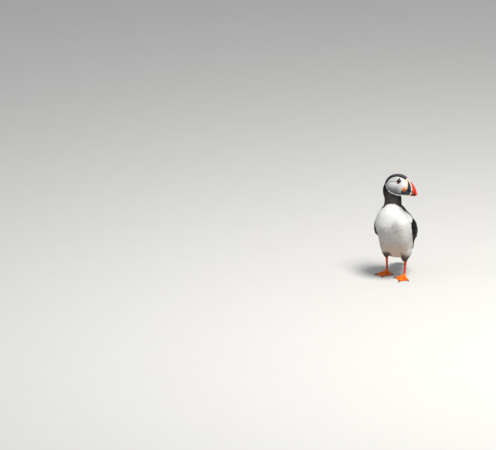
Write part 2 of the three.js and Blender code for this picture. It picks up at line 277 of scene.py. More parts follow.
def points_of(made):
    """A mesh object's points in millimetres."""
    return read(made.data.vertices, "co", 3, np.float32).astype(float) / MM


def triangles_of(made):
    """A mesh object's triangles, as points and as corners."""
    made.data.calc_loop_triangles()
    triangles = made.data.loop_triangles
    return read(triangles, "vertices", 3, np.int32), read(triangles, "loops", 3, np.int32)


def move_points(made, points):
    """Puts a mesh object's points at new places, in millimetres."""
    made.data.vertices.foreach_set("co", (points * MM).astype(np.float32).ravel())
    made.data.update()


EVENED = (0.5, 0.5)  # shares of the way to their neighbours' middle that points move, in turn
KEPT_IN_SIZE = (0.5, -0.52)  # the same, each followed by a pull back


def smoothed(made, points, passes, moves=KEPT_IN_SIZE):
    """Points, or values at them, evened out along the edges."""
    a, b = read(made.data.edges, "vertices", 2, np.int32).T
    degree = np.bincount(np.concatenate([a, b]), minlength=len(points))[:, None]
    for move in moves * passes:
        total = np.empty_like(points)
        for axis in range(3):
            total[:, axis] = np.bincount(a, points[b, axis], len(points))
            total[:, axis] += np.bincount(b, points[a, axis], len(points))
        points = points + move * (total / degree - points)
    return points


def fused(name, points, faces, voxel, passes):
    """One closed surface round shells that overlap."""
    raw = mesh_object(name + "_raw", points, [faces])
    fuse = raw.modifiers.new("Fuse", "REMESH")
    fuse.mode = "VOXEL"
    fuse.voxel_size = voxel * MM
    graph = bpy.context.evaluated_depsgraph_get()
    mesh = bpy.data.meshes.new_from_object(raw.evaluated_get(graph))
    bpy.data.objects.remove(raw)
    mesh.name = name
    mesh.shade_smooth()
    made = linked(name, mesh)
    move_points(made, smoothed(made, points_of(made), passes))
    return made


def rounded(value, power):
    """A sine or cosine bent so that a ring of them is a rounded box."""
    return np.sign(value) * np.abs(value) ** (2 / power)


def ring_faces(rings, columns):
    """Faces of a closed form whose points are one pole, rings of columns and the other pole."""
    ring = np.arange(columns)
    after = (ring + 1) % columns
    last = 1 + (rings - 1) * columns
    quads = [np.stack([low + ring, low + columns + ring, low + columns + after, low + after], 1)
             for low in range(1, last, columns)]
    caps = [np.stack([np.zeros_like(ring), 1 + ring, 1 + after], 1),
            np.stack([last + ring, np.full_like(ring, last + columns), last + after], 1)]
    return [np.concatenate(quads), np.concatenate(caps)]


def wrapped(rows, columns, place):
    """A closed form of rings between two poles. place takes rows of 0 to 1 and angles."""
    row, angle = np.meshgrid(np.arange(1, rows) / rows, np.arange(columns) * 2 * math.pi / columns,
                             indexing="ij")
    row = np.concatenate([[0], row.ravel(), [1]])
    angle = np.concatenate([[0], angle.ravel(), [0]])
    return place(row, angle), ring_faces(rows - 1, columns), row, angle


def stacked(forms):
    """Several pairs of points and triangles as one pair."""
    starts = np.cumsum([0] + [len(points) for points, _ in forms])
    return (np.vstack([points for points, _ in forms]),
            np.vstack([faces + start for (_, faces), start in zip(forms, starts)]))


def triangulated(groups):
    """Quads and triangles as triangles."""
    quads, triangles = groups
    return np.concatenate([quads[:, :3], quads[:, [0, 2, 3]], triangles])


def outward(points, groups):
    """The faces turned to point out of a closed form."""
    volume = 0.0
    for group in groups:
        for second in range(1, group.shape[1] - 1):
            a, b, c = points[group[:, 0]], points[group[:, second]], points[group[:, second + 1]]
            volume += np.sum(dot(a, np.cross(b, c)))
    return groups if volume > 0 else [group[:, ::-1] for group in groups]


def cap_at(row, blunt):
    """How full a closed form is at a share of its length: 0 at both ends."""
    return np.clip(1 - np.abs(2 * row - 1) ** blunt, 0, 1) ** (1 / blunt)


# ---- the head's own frame

EYE_SPREAD = 25.6  # the eyes' distance in the head's own units
EYE_FORWARD, EYE_UP = 11, 7.2  # the eyes' place from the head's centre
TIP_FORWARD, TIP_UP = 59.5, -14.8  # the bill tip's place from it
EYE_PLACE = np.array([EYE_SPREAD / 2, -EYE_FORWARD, EYE_UP])


def centre_of(node):
    """The middle of a solid's box in millimetres."""
    low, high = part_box(node)
    return np.array((low + high) / 2) / MM


class HeadFrame:
    """The turned head: x to its left, y back and z up, in units a little under a millimetre."""

    def __init__(self):
        left, right = centre_of("eye_left"), centre_of("eye_right")
        middle = (left + right) / 2
        self.scale = np.linalg.norm(left - right) / EYE_SPREAD
        across = unit(left - right)
        bill, _ = shell_of("upper_bill")
        reach = bill - middle
        tip = reach[np.argmax(np.linalg.norm(reach, axis=1))]
        line = unit(tip - across * (tip @ across))
        rise = np.cross(line, across)
        slope = math.atan2(EYE_UP - TIP_UP, TIP_FORWARD - EYE_FORWARD)
        forward = math.cos(slope) * line + math.sin(slope) * rise
        up = -math.sin(slope) * line + math.cos(slope) * rise
        self.axes = np.array([across, -forward, up])
        self.centre = middle - self.scale * (EYE_FORWARD * forward + EYE_UP * up)

    def local(self, points):
        """World millimetres to the head's own units."""
        return (points - self.centre) @ self.axes.T / self.scale

    def world(self, points):
        """The head's own units to world millimetres."""
        return self.centre + np.asarray(points, float) * self.scale @ self.axes

    def turned(self, vectors):
        """A direction in the head's frame as a direction in the world."""
        return unit(np.asarray(vectors, float) @ self.axes)


HEAD = HeadFrame()


def head_object(name, local, groups):
    """An object from points in the head's frame and its groups of faces, turned to point out."""
    return mesh_object(name, HEAD.world(local), outward(local, groups))


def eye_distance(local):
    """Distance of points in the head's frame from the nearer eye's centre."""
    folded = np.column_stack([np.abs(local[:, 0]), local[:, 1:]])
    return np.linalg.norm(folded - EYE_PLACE, axis=1)


# ---- the line of the body

# From the crown down the neck, breast and belly and back along the tail, in millimetres.
BODY_LINE = np.array([
    (-1.8, -23.6, 206), (-9.4, -21.6, 190), (-8.8, -22.6, 174), (-7.8, -24.6, 158),
    (-6.3, -26.6, 143), (-4.3, -26.6, 124), (-2.8, -25.6, 104), (-2.5, -21.6, 84),
    (-2.5, -14.6, 67), (-2.8, -0.6, 52), (-3.3, 17.4, 43), (-3.8, 34.4, 36), (-3.8, 65.4, 24),
])


def body_place(points):
    """How far each point lies down the body's line, its turn round it in degrees from the
    breast (0) to the back (180), and the line's direction there."""
    steps = BODY_LINE[1:] - BODY_LINE[:-1]
    corner_ways = unit(np.vstack([steps[:1], unit(steps[1:]) + unit(steps[:-1]), steps[-1:]]))
    _, stretch, share, along = nearest_on(points, BODY_LINE)
    way = unit(mixed(corner_ways[stretch], corner_ways[stretch + 1], share))
    away = points - (BODY_LINE[stretch] + share[:, None] * steps[stretch])
    belly_way = unit(np.cross(way, (1, 0, 0)))
    return along, np.degrees(np.arctan2(np.abs(away[:, 0]), dot(away, belly_way))), way


# ---- settings

def colour(name, description, default):
    """A colour setting in linear light."""
    return FloatVectorProperty(name=name, description=description, default=default, subtype="COLOR",
                               size=3, min=0, max=1)


def length(name, description, default):
    """A length setting, given here in millimetres."""
    return FloatProperty(name=name, description=description, default=default * MM, min=0,
                         unit="LENGTH", subtype="DISTANCE")


class PlumageSettings(bpy.types.PropertyGroup):
    """Sizes and colours of the skin and feathers."""
    skin_step: length("Skin step", "Size of the skin's faces", 1.15)
    body_depth: length("Body coat depth", "How far the skin lies inside the body's outline", 1.5)
    head_depth: length("Head coat depth", "How far the skin lies inside the head's outline", 0.65)
    tuft_length: length("Breast feather length", "Length of a breast feather", 8.6)
    tuft_width: length("Breast feather width", "Width of a breast feather", 1.5)
    tuft_spacing: length("Breast feather spacing", "Distance between their roots", 0.87)
    white: colour("White", "Breast, belly and flanks", (0.80, 0.80, 0.79))
    # Buff: painted shade between the legs, warmed by light reflected from the ground.
    buff: colour("Buff", "Lower belly between the legs", (0.53, 0.40, 0.31))
    dusky: colour("Dusky", "Lower thighs", (0.038, 0.029, 0.025))
    black: colour("Black", "Back, wings, tail and nape", (0.0050, 0.0045, 0.0050))
    collar: colour("Collar", "Front of the neck", (0.034, 0.030, 0.029))
    face_white: colour("Face white", "Face above the crease and round the bill", (0.79, 0.79, 0.79))
    # Cheek grey: the lower cheek's own grey, deepened by painted shade where the face turns under.
    cheek_grey: colour("Cheek grey", "Lower half of the cheek", (0.17, 0.17, 0.185))
    # Cheek shade: painted shadow under the cheek's bulge, just above the rim.
    cheek_shade: colour("Cheek shade", "Cheek just above its pale rim", (0.058, 0.058, 0.065))
    # Cap sheen: a painted reflection of the sky along the crown.
    cap_sheen: colour("Cap sheen", "Violet sheen along the crown", (0.075, 0.066, 0.080))
    # Belly: painted shade on the white of the lower body.
    belly: colour("Belly", "Soiled white below the breast", (0.46, 0.445, 0.43))


class BillSettings(bpy.types.PropertyGroup):
    """Colours of the bill and the rosette at its corner."""
    ridge: colour("Ridge", "Horn ridge round the bill's base", (0.76, 0.56, 0.36))
    slate: colour("Slate", "Plate behind the pale chevron", (0.022, 0.031, 0.050))
    chevron: colour("Chevron", "Pale stripe across the bill", (0.74, 0.66, 0.47))
    red: colour("Red", "Culmen and outer bill", (0.74, 0.020, 0.001))
    # Deep red: the horn's own darker red just beyond the chevron, and painted shade down the bill's side and
    # on its lower half.
    deep_red: colour("Deep red", "Bill just beyond the chevron and below", (0.14, 0.006, 0.004))
    rosette: colour("Rosette", "Folded skin at the corner of the bill", (0.86, 0.27, 0.006))
    # Rosette fold: darker in the rosette's middle, with painted shade in the mouth's fold and the pleats'
    # troughs.
    rosette_fold: colour("Rosette fold", "Its inner folds", (0.30, 0.040, 0.004))


class EyeSettings(bpy.types.PropertyGroup):
    """Sizes and colours of the eyes."""
    iris: colour("Iris", "Iris", (0.014, 0.006, 0.004))
    ring: colour("Ring", "Bare ring round the eye", (0.40, 0.012, 0.016))
    plate: colour("Plate", "Horny plates above and below the eye", (0.012, 0.013, 0.017))


class LegSettings(bpy.types.PropertyGroup):
    """Sizes and colours of the legs and feet."""
    skin_step: length("Leg skin step", "Size of the faces of the legs' skin", 0.42)
    web: colour("Web", "Webs between the toes", (0.95, 0.150, 0.002))
    toe: colour("Toe", "Ridge of each toe", (0.95, 0.23, 0.010))
    shank: colour("Shank", "Shank above the foot", (0.74, 0.050, 0.004))
    # Sole: painted shade on the foot's downward faces.
    sole: colour("Sole", "Under the foot", (0.40, 0.12, 0.03))
    claw: colour("Claw", "Claws", (0.016, 0.014, 0.013))


class StageSettings(bpy.types.PropertyGroup):
    """Camera, lights and floor."""
    azimuth: FloatProperty(name="Azimuth", description="Camera's turn to the bird's left",
                           default=math.radians(12), subtype="ANGLE", unit="ROTATION")
    elevation: FloatProperty(name="Elevation", description="Camera's height above the bird",
                             default=math.radians(18), subtype="ANGLE", unit="ROTATION")
    distance: length("Distance", "From the camera to the bird", 8000)
    view_width: length("View width", "Width of the view at the bird", 1041.6)
    bird_right: length("Bird right", "How far right of the view's middle the bird stands", 317.9)
    bird_above: length("Bird above", "How far above the view's middle its middle is", 6.2)
    key_power: FloatProperty(name="Key power", description="Watts of the key light", default=64, min=0)
    fill_power: FloatProperty(name="Fill power", description="Watts of the fill light", default=6, min=0)
    sky: FloatProperty(name="Sky", description="Brightness of the sky light", default=0.43, min=0)
    floor: colour("Floor", "Floor", (0.62, 0.62, 0.61))


SETTINGS = {"plumage": PlumageSettings, "bill": BillSettings, "eye": EyeSettings, "leg": LegSettings,
            "stage": StageSettings}


def look(group):
    """The settings of one group in the scene."""
    return getattr(bpy.context.scene, group)


def tone(name):
    """A colour setting as an array. No two groups share a colour's name."""
    group = next(group for group, kind in SETTINGS.items() if name in kind.__annotations__)
    return np.array(getattr(look(group), name)[:])


# ---- finishes

class Signal:
    """A value inside a finish. Python's operators on it add Math nodes."""

    def __init__(self, finish, socket):
        self.finish = finish
        self.socket = socket

    def __add__(self, other):
        return self.finish.maths("ADD", self, other)

    __radd__ = __add__

    def __sub__(self, other):
        return self.finish.maths("SUBTRACT", self, other)

    def __rsub__(self, other):
        return self.finish.maths("SUBTRACT", other, self)

    def __mul__(self, other):
        return self.finish.maths("MULTIPLY", self, other)

    __rmul__ = __mul__

    def __pow__(self, other):
        return self.finish.maths("POWER", self, other)


def socket_of(sockets, name):
    """The socket with a name, an identifier or a place in the list."""
    if isinstance(name, int):
        return sockets[name]
    return [socket for socket in sockets if name in (socket.identifier, socket.name)][0]


class Finish:
    """A material with one Principled shader. Numbers in shader are set on its own sockets."""

    def __init__(self, name, shader):
        self.material = bpy.data.materials.new(name)
        self.material.use_nodes = True
        self.tree = self.material.node_tree
        self.principled = self.tree.nodes["Principled BSDF"]
        for socket, value in shader.items():
            self.principled.inputs[socket].default_value = value

    def node(self, kind, output, settings, sockets):
        """Adds a node: its settings first, then the values or links of its sockets. Gives back
        one of its outputs."""
        made = self.tree.nodes.new(kind)
        for name, value in settings.items():
            setattr(made, name, value)
        for name, value in sockets.items():
            self._set_socket(made, name, value)
        return Signal(self, socket_of(made.outputs, output))

    def _set_socket(self, made, name, value):
        target = socket_of(made.inputs, name)
        if isinstance(value, Signal):
            self.tree.links.new(value.socket, target)
        else:
            target.default_value = value

    def maths(self, operation, *values):
        """A Math node on numbers or signals."""
        return self.node("ShaderNodeMath", "Value", {"operation": operation}, dict(enumerate(values)))

    def place(self):
        """The place on the object, in metres."""
        return self.node("ShaderNodeTexCoord", "Object", {}, {})

    def noise(self, size, detail=2.0, roughness=0.55):
        """Noise of 0 to 1 whose features are about a size in millimetres."""
        return self.node("ShaderNodeTexNoise", "Fac", {}, {
            "Vector": self.place(), "Scale": 1 / (size * MM), "Detail": detail,
            "Roughness": roughness})

    def tint(self):
        """The colour stored at the mesh's points."""
        return self.node("ShaderNodeAttribute", "Color", {"attribute_name": TINT}, {})

    def stored(self, name):
        """A number stored at the mesh's points."""
        return self.node("ShaderNodeAttribute", "Fac", {"attribute_name": name}, {})

    def shaded(self, base, factor):
        """A colour made darker or lighter by a factor."""
        return self.node("ShaderNodeVectorMath", "Vector", {"operation": "SCALE"},
                         {"Vector": base, "Scale": factor})

    def blended(self, factor, first, second):
        """Two plain colours mixed by a factor."""
        return self.node("ShaderNodeMix", "Result_Color", {"data_type": "RGBA"}, {
            "Factor_Float": factor, "A_Color": (*first, 1), "B_Color": (*second, 1)})

    def bump(self, height, depth):
        """Bumps of a depth in millimetres, from a height of 0 to 1."""
        return self.node("ShaderNodeBump", "Normal", {}, {
            "Height": height, "Distance": depth * MM, "Strength": 1.0})

    def wear(self, **links):
        """Links what varies over the surface to the shader."""
        for name, value in links.items():
            self._set_socket(self.principled, name.replace("_", " "), value)
        return self.material


BARB_GAP = 0.28  # between the barbs of a vane
PEBBLE = 0.95  # size of the net of wrinkles on the webs
CLAW_WEAR = 3.2  # how much paler a claw is where it is worn


def plumage_finish(name, grain, depth):
    """Soft feathers: stored colours, a little unevenness and fine fuzz."""
    made = Finish(name, {"Specular IOR Level": 0.14})
    tint = made.tint()
    patches = made.noise(7.0)
    fuzz = made.noise(grain, 3.0, 0.7)
    base = made.shaded(tint, 0.90 + patches * 0.12 + fuzz * 0.08)
    paleness = made.node("ShaderNodeRGBToBW", "Val", {}, {"Color": tint})
    return made.wear(Base_Color=base, Roughness=0.56 + paleness * 0.30, Normal=made.bump(fuzz, depth))


def vane_finish(name):
    """Wing and tail feathers: stored colours and fine barbs that run off the shaft."""
    made = Finish(name, {"Specular IOR Level": 0.14})
    tint = made.tint()
    barb = made.maths("PINGPONG", made.stored("barb"), BARB_GAP) * 3.5
    patches = made.noise(5.0)
    base = made.shaded(tint, 0.80 + patches * 0.25 + barb * 0.15)
    return made.wear(Base_Color=base, Roughness=0.46 + patches * 0.16, Normal=made.bump(barb, 0.05))


def horn_finish(name):
    """Bill horn: stored colours, faint growth lines, and a pitted ridge."""
    made = Finish(name, {"Specular IOR Level": 0.22, "Coat Roughness": 0.25})
    tint = made.tint()
    cloud = made.noise(4.0)
    speck = made.noise(0.7, 3.0, 0.7)
    ridge = made.stored("ridge")
    lines = made.maths("SINE", made.stored("ahead") * 9 + cloud * 6)
    base = made.shaded(tint, 0.86 + cloud * 0.18 + speck * 0.08 + lines * 0.025)
    height = lines * 0.10 + speck * (0.25 + ridge * 1.2)
    return made.wear(Base_Color=base, Roughness=0.30 + cloud * 0.12 + ridge * 0.25,
                     Normal=made.bump(height, 0.12))


def fleshy_finish(name):
    """Bare skin: stored colours with fine pebbles."""
    made = Finish(name, {"Specular IOR Level": 0.4})
    tint = made.tint()
    cloud = made.noise(2.0)
    speck = made.noise(0.45, 3.0, 0.7)
    base = made.shaded(tint, 0.82 + cloud * 0.22 + speck * 0.12)
    return made.wear(Base_Color=base, Roughness=0.42 + speck * 0.15, Normal=made.bump(speck, 0.10))


def leg_finish(name):
    """Leg skin: scales across toes and shank, and a fine net of wrinkles on the webs."""
    made = Finish(name, {"Specular IOR Level": 0.28})
    tint = made.tint()
    net = made.node("ShaderNodeTexVoronoi", "Distance", {"feature": "DISTANCE_TO_EDGE"},
                    {"Vector": made.place(), "Scale": 1 / (PEBBLE * MM)})
    pebble = made.maths("SMOOTH_MIN", net * 4, 0.8, 0.3)
    scute = made.maths("PINGPONG", made.stored("run"), 0.5) * 2
    edge = 1 - (1 - scute) ** 4
    scaly = made.stored("scaly")
    cloud = made.noise(3.5)
    height = edge * scaly + pebble * (1 - scaly) * 0.6
    base = made.shaded(tint, 0.84 + cloud * 0.16 + height * 0.10)
    return made.wear(Base_Color=base, Roughness=0.40 + cloud * 0.16, Normal=made.bump(height, 0.11))


def claw_finish(name):
    """Claw horn: near black, worn paler in streaks."""
    made = Finish(name, {"Specular IOR Level": 0.5})
    cloud = made.noise(1.6, 3.0)
    dark = tone("claw")
    base = made.blended(cloud ** 3, dark, CLAW_WEAR * dark)
    return made.wear(Base_Color=base, Roughness=0.28 + cloud * 0.2, Normal=made.bump(cloud, 0.06))


def glossy_finish(name):
    """The wet eye."""
    made = Finish(name, {"Specular IOR Level": 0.12, "Coat Weight": 0.3, "Coat Roughness": 0.03})
    cloud = made.noise(0.8)
    return made.wear(Base_Color=made.shaded(made.tint(), 0.8 + cloud * 0.4), Roughness=0.06 + cloud * 0.05)


# ---- markings

# Side outlines in the head's frame, as (y back, z up). The far side mirrors them.
FACE_OUTLINE = [(-30, 12), (-21.6, 13.2), (-18.2, 15.2), (-10.0, 16.9), (-2.0, 16.0), (3.9, 13.2),
                (8.4, 10.2), (12.6, 6.0), (15.4, 1.0), (18.5, -3.2), (22.5, -7.5), (18.3, -14.4),
                (12.9, -19.5), (8.4, -23.1), (4.4, -24.7), (-0.2, -25.3), (-5.2, -26.3), (-9.0, -27.6),
                (-30, -27.6)]
FACE_TOP = FACE_OUTLINE[1:8]
FACE_FOOT = FACE_OUTLINE[10:18]
CREASE = [(-8.2, 4.9), (-3.0, 3.8), (2.2, 2.6), (8.9, 0.9), (13.0, -1.0), (17.0, -4.0)]
CHEEK_FOOT = [(12.5, -15.6), (7.0, -19.4), (1.0, -21.6), (-5.5, -22.6), (-12.0, -20.6)]
CHIN_CORNER = (-24.8, -12.0)  # where the dark chin meets the rosette
CHIN_BACK = -7.6
CHIN_SLOPE = -0.62
CHEEK_DEPTH = 24  # from the crease down to where the cheek is greyest
CREASE_WIDTH, CREASE_TONE = 0.85, 0.16
RIM_EDGE = (3.2, 2.5)  # from the foot of the face up: where its pale rim, partly a painted highlight, begins and is full
SHADE_BEHIND, SHADE_AHEAD = (10.0, 4.2), (6.0, 3.0)  # the same for the painted shadow above the rim, further back and further forward

# The dusky patches of the thighs: for each side, X and the height of the patch's upper border there.
DUSK_TOPS = {"left": [(12, 62), (20, 56), (31, 49)], "right": [(-31, 56), (-18, 64), (-9, 62)]}
FLANK_TURN = 16  # the black of the back starts this much further round on the bird's right side
SHOULDER_TURN = 15  # and this much further on its left shoulder
SHOULDER_PLACE, SHOULDER_SPREAD = 76, 26  # the shoulder's place down the body's line
RUFFLE = (4.5, -63.5, 124)  # where the breast feathers stand apart
# Breast feathers lie over the front of the right wing up to these turns, at these heights.
WRIST_HEIGHTS = (112, 117, 124, 136, 148)
WRIST_TURNS = (-30, -20, -14, -10, 4)
# The black of the right flank in front of the wing: it starts at these turns, at these heights.
FLANK_HEIGHTS = (88, 93, 97, 101, 106, 111, 116, 120, 126)
FLANK_TURNS = (82, 66, 63, 64, 65, 64, 63.5, 66, 80)
RIGHTWARD = (-2, -14)  # X where the markings of the right side begin and where they are full
BELLY_SHADE_HEIGHTS = (134, 108)  # heights where the painted shade on the lower body begins and is full

# The lower border of the black plumage: millimetres down the body's line, for each turn round it.
COLLAR_TURNS = (0, 20, 40, 55, 65, 74, 80, 85, 89, 92, 97, 104, 112)
COLLAR_PLACES = (43.5, 45, 48, 51, 54, 58, 66, 80, 100, 125, 155, 185, 215)


def above_crease(local):
    """How far points of the head's frame lie above the crease behind the eye."""
    return local[:, 2] - height_on(CREASE, local[:, 1])


def face_colours(local, rough):
    """The pale face: white above the crease and near the bill, greyer below where the grey is partly painted
    shade, with painted shadow above its pale rim, which is partly a painted highlight.
    """
    side, back = local[:, 1:], local[:, 1]
    white = tone("face_white")
    rise = above_crease(local)
    near_bill = ease(-8, -19, back)
    # Greyer below the crease: the cheek's own grey, deepened by painted shade where the face turns under.
    greyness = ease(0.02, 0.98, -rise / CHEEK_DEPTH) * (1 - 0.75 * near_bill) + 0.10 * ease(-2, 14, back)
    shade = mixed(white, tone("cheek_grey"), np.clip(greyness, 0, 1))
    shade = shade * (1 - 0.34 * ease(0, 4, rise) * ease(-12, -3, back))[:, None]
    crease, share = line_distance(side, CREASE)
    shade = mixed(shade, shade * CREASE_TONE, bell(crease, CREASE_WIDTH) * ease(1.0, 0.72, share))
    rim, _ = line_distance(side, FACE_FOOT)
    # Painted shadow under the cheek's bulge, just above the rim.
    under = ease(*SHADE_BEHIND, rim) * ease(-10, 0, back) + ease(*SHADE_AHEAD, rim) * ease(0, -10, back)
    shade = mixed(shade, tone("cheek_shade"), 0.92 * under * ease(-18, -10, back))
    # Painted shade in the fold along the cheek's foot.
    foot, _ = line_distance(side, CHEEK_FOOT)
    fold = (0.35 + 0.6 * ease(4, -6, back)) * bell(foot, 1.1)
    shade = mixed(shade, tone("collar") * 0.6, fold)
    # The pale rim at the face's foot: the feathers' own paler edge, brightened by a painted highlight.
    return mixed(shade, white * 1.12, ease(*RIM_EDGE, rim + rough))


def chin_share(local, rough):
    """How much of the dark chin covers points: it lies below a line back from the bill's corner."""
    back = local[:, 1]
    line = CHIN_CORNER[1] + CHIN_SLOPE * (back - CHIN_CORNER[0])
    behind = ease(CHIN_BACK + 0.5, CHIN_BACK - 0.5, back + rough)
    return ease(0.4, -0.6, local[:, 2] - line + rough) * behind


def cap_colours(local):
    """The black cap, with a painted reflection of the sky as a sheen along the crown."""
    edge, _ = line_distance(local[:, 1:], FACE_TOP)
    sheen = ease(2.4, 4.0, edge) * ease(13, 3, local[:, 1])
    return mixed(tone("black"), tone("cap_sheen"), sheen)


def head_colours(points):
    """The head's colours, and how much of each is the pale face."""
    local = HEAD.local(points)
    rough = waves(points, 2.2, 11) * 0.35
    pale = ease(-0.5, 0.5, depth_within(local[:, 1:], FACE_OUTLINE) + rough)
    face = mixed(face_colours(local, rough), tone("collar") * 0.8, chin_share(local, rough))
    return mixed(cap_colours(local), face, pale), pale


def flank_share(points, turn, rightward):
    """How much of the black in front of the right wing covers points."""
    share = ease(-1.5, 1.5, turn - np.interp(points[:, 2], FLANK_HEIGHTS, FLANK_TURNS)) * rightward
    return share * (ease(124, 119, points[:, 2]) * ease(88, 92, points[:, 2]))


def marking_turn(points, along, turn, rightward):
    """The turn round the body that the markings follow. They start further round on the right
    side and on the left shoulder."""
    side_on = ease(35, 70, turn)
    turn = turn - FLANK_TURN * side_on * rightward
    shoulder = bell(along - SHOULDER_PLACE, SHOULDER_SPREAD) * ease(-8, 2, points[:, 0])
    return turn - SHOULDER_TURN * side_on * shoulder


def underpart_colours(points, along, turn, rough):
    """Breast and belly: white, with painted shade on the lower body and among the stirred feathers, and
    painted shade warmed by reflected light between the legs.
    """
    # Painted shade on the lower body below the lit breast, with less of it on the bird's left flank, where
    # the light falls.
    belly_shade = ease(*BELLY_SHADE_HEIGHTS, points[:, 2] + 2 * rough) * (0.95 - 0.6 * ease(10, 28, points[:, 0]))
    # Painted shade in streaks among the stirred breast feathers.
    ruffled = near(points, RUFFLE, 11) * (0.8 + 0.4 * waves(points, 1.9, 23))
    white = mixed(tone("white"), tone("belly"), np.clip(belly_shade, 0, 1))
    white = mixed(white, tone("belly") * 0.8, np.clip(ruffled, 0, 1))
    # Painted shade between the legs, warm as if lit by light reflected from the ground.
    buff = ease(100, 134, along) * ease(80, 25, turn) * 0.85
    return mixed(white, tone("buff"), buff)


def upperpart_colours(along, turn):
    """The black of the back, and the browner collar in front of the neck."""
    low = ease(28, 38, along)
    front = ease(0, 1, (72 + 6 * low - turn) / (50 - 22 * low)) * ease(14, 26, along)
    return mixed(tone("black"), tone("collar") * 1.15, front)


def dusk_share(points, parts, side_name, rough):
    """How much of one thigh's dusky patch covers points."""
    across, heights = zip(*DUSK_TOPS[side_name])
    over = points[:, 2] + 1.6 * rough - np.interp(points[:, 0], across, heights)
    within = ease(across[0] - 3, across[0] + 2, points[:, 0])
    within = within * ease(across[-1] + 3, across[-1] - 2, points[:, 0])
    patch = ease(2, -6, over) * within * ease(0, -8, points[:, 1])
    thigh = ease(48, 38, points[:, 2]) * (parts == FLESH.index("thigh_" + side_name))
    return 0.94 * np.maximum(patch, thigh)


def under_breast(points, parts, rough):
    """True where the breast's feathers lie over the front of the right wing."""
    middle = np.interp(points[:, 2], MANTLE_HEIGHTS, MANTLE_BACKS)
    turn = np.degrees(np.arctan2(points[:, 1] - middle, MANTLE_X - points[:, 0]))
    covered = turn + 2 * rough < np.interp(points[:, 2] + rough, WRIST_HEIGHTS, WRIST_TURNS)
    return covered & (parts == FLESH.index("wing_right")) & (points[:, 2] > WRIST_HEIGHTS[0])


def body_colours(points, parts):
    """The colours of neck, trunk, tail, wings and thighs."""
    along, turn, _ = body_place(points)
    rough = waves(points, 6, 21) * 0.9 + waves(points, 2.5, 22) * 0.6
    rightward = ease(*RIGHTWARD, points[:, 0])
    flank = flank_share(points, turn + rough, rightward)
    drop = 4.5 * ease(15, 60, turn) * rightward + 2.2 * bell(turn - 56, 16) * (1 - rightward)
    turn = marking_turn(points, along, turn, rightward)
    border = np.interp(turn, COLLAR_TURNS, COLLAR_PLACES) + drop * bell(along - 50, 14)
    pale = ease(-0.7, 0.7, along - border + rough) * (1 - flank)
    white = underpart_colours(points, along, turn, rough)
    shade = mixed(upperpart_colours(along, turn), white, pale)
    for side_name in SIDES:
        shade = mixed(shade, tone("dusky"), dusk_share(points, parts, side_name, rough))
    shade[np.isin(parts, (*WING_PARTS, TAIL_PART))] = tone("black")
    lapped = under_breast(points, parts, rough)
    shade[lapped] = white[lapped]
    return shade


def plumage_colours(points, parts):
    """The colour of the plumage at points of the skin, each nearest to one of the solids."""
    shade = body_colours(points, parts)
    headed = (parts == HEAD_PART) | (parts == NECK_PART)
    head_shade, face = head_colours(points)
    shade[parts == HEAD_PART] = head_shade[parts == HEAD_PART]
    shade[headed] = mixed(shade, head_shade, face)[headed]
    return shade


# ---- the skin

def flesh_surface():
    """The shells of flesh as one set of points and triangles, with each triangle's solid."""
    shells = [shell_of(node) for node in FLESH]
    return (*stacked(shells), np.repeat(range(len(FLESH)), [len(faces) for _, faces in shells]))


OVERLAP = 0.4  # each solid swells by this, so that the clearances between them close
HEAD_FLOOR = 178  # the head's finer faces start above this height
THICKEST = 40  # the flesh counts as no thicker than this
THIN_SHARE = 0.3  # where it is thin, the skin goes no deeper than this share of its thickness
WING_DEPTH = 0.8  # share of the body coat's depth on wings and tail


def refine_head(made):
    """Halves the faces of the head."""
    mesh = bmesh.new()
    mesh.from_mesh(made.data)
    edges = [edge for edge in mesh.edges if all(v.co.z > HEAD_FLOOR * MM for v in edge.verts)]
    bmesh.ops.subdivide_edges(mesh, edges=edges, cuts=1, use_grid_fill=True, smooth=0.0)
    mesh.to_mesh(made.data)
    mesh.free()


def face_relief(points, parts):
    """How far the head's skin stands out or in: brow fold, cheek, crease and eye hollow."""
    local = HEAD.local(points)
    side = local[:, 1:]
    crease, share = line_distance(side, CREASE)
    fade = ease(1.0, 0.7, share)
    relief = -0.75 * bell(crease, 0.8) * fade
    relief += np.where(above_crease(local) > 0, 0.30, 0.16) * bell(crease - 2.0, 1.3) * fade
    foot, _ = line_distance(side, CHEEK_FOOT)
    relief -= 0.55 * bell(foot, 0.9)
    relief += 0.25 * bell(foot - 3.0, 2.2)
    relief -= 0.35 * bell(eye_distance(local), 4.6)
    relief[parts != HEAD_PART] = 0
    return relief


# Where the plumage is fuller than the solids: a place, the fullness's spread and its height.
FULLNESS = (((-21, -26, 206), 7.5, 2.6), ((-25, -23, 198), 7, 2.4), ((-29, -20, 186), 9, 1.7),
            ((10, -24, 171), 10, 2.3))


def fullness(points):
    """How far the skin stands out at the back of the head, the nape and the throat."""
    return sum(height * near(points, place, spread) for place, spread, height in FULLNESS)


def coat_depth(skin, places, triangles, ups, part):
    """How far the skin lies under the tips of the coat, less where the flesh is thin."""
    settings = look("plumage")
    tree = BVHTree.FromPolygons(places.tolist(), triangles.tolist())
    thick = np.empty(len(places))
    for i, (place, up) in enumerate(zip(places.tolist(), ups.tolist())):
        inward = -Vector(up)
        hit = tree.ray_cast(Vector(place) + inward * 0.05, inward, THICKEST)[3]
        thick[i] = hit if hit is not None else THICKEST
    depth = np.where(part == HEAD_PART, settings.head_depth, settings.body_depth) / MM
    depth = np.where(np.isin(part, (*WING_PARTS, TAIL_PART)), WING_DEPTH * depth, depth)
    depth = np.minimum(depth + OVERLAP, THIN_SHARE * thick)
    return smoothed(skin, np.repeat(depth[:, None], 3, 1), 8, moves=EVENED)[:, 0]


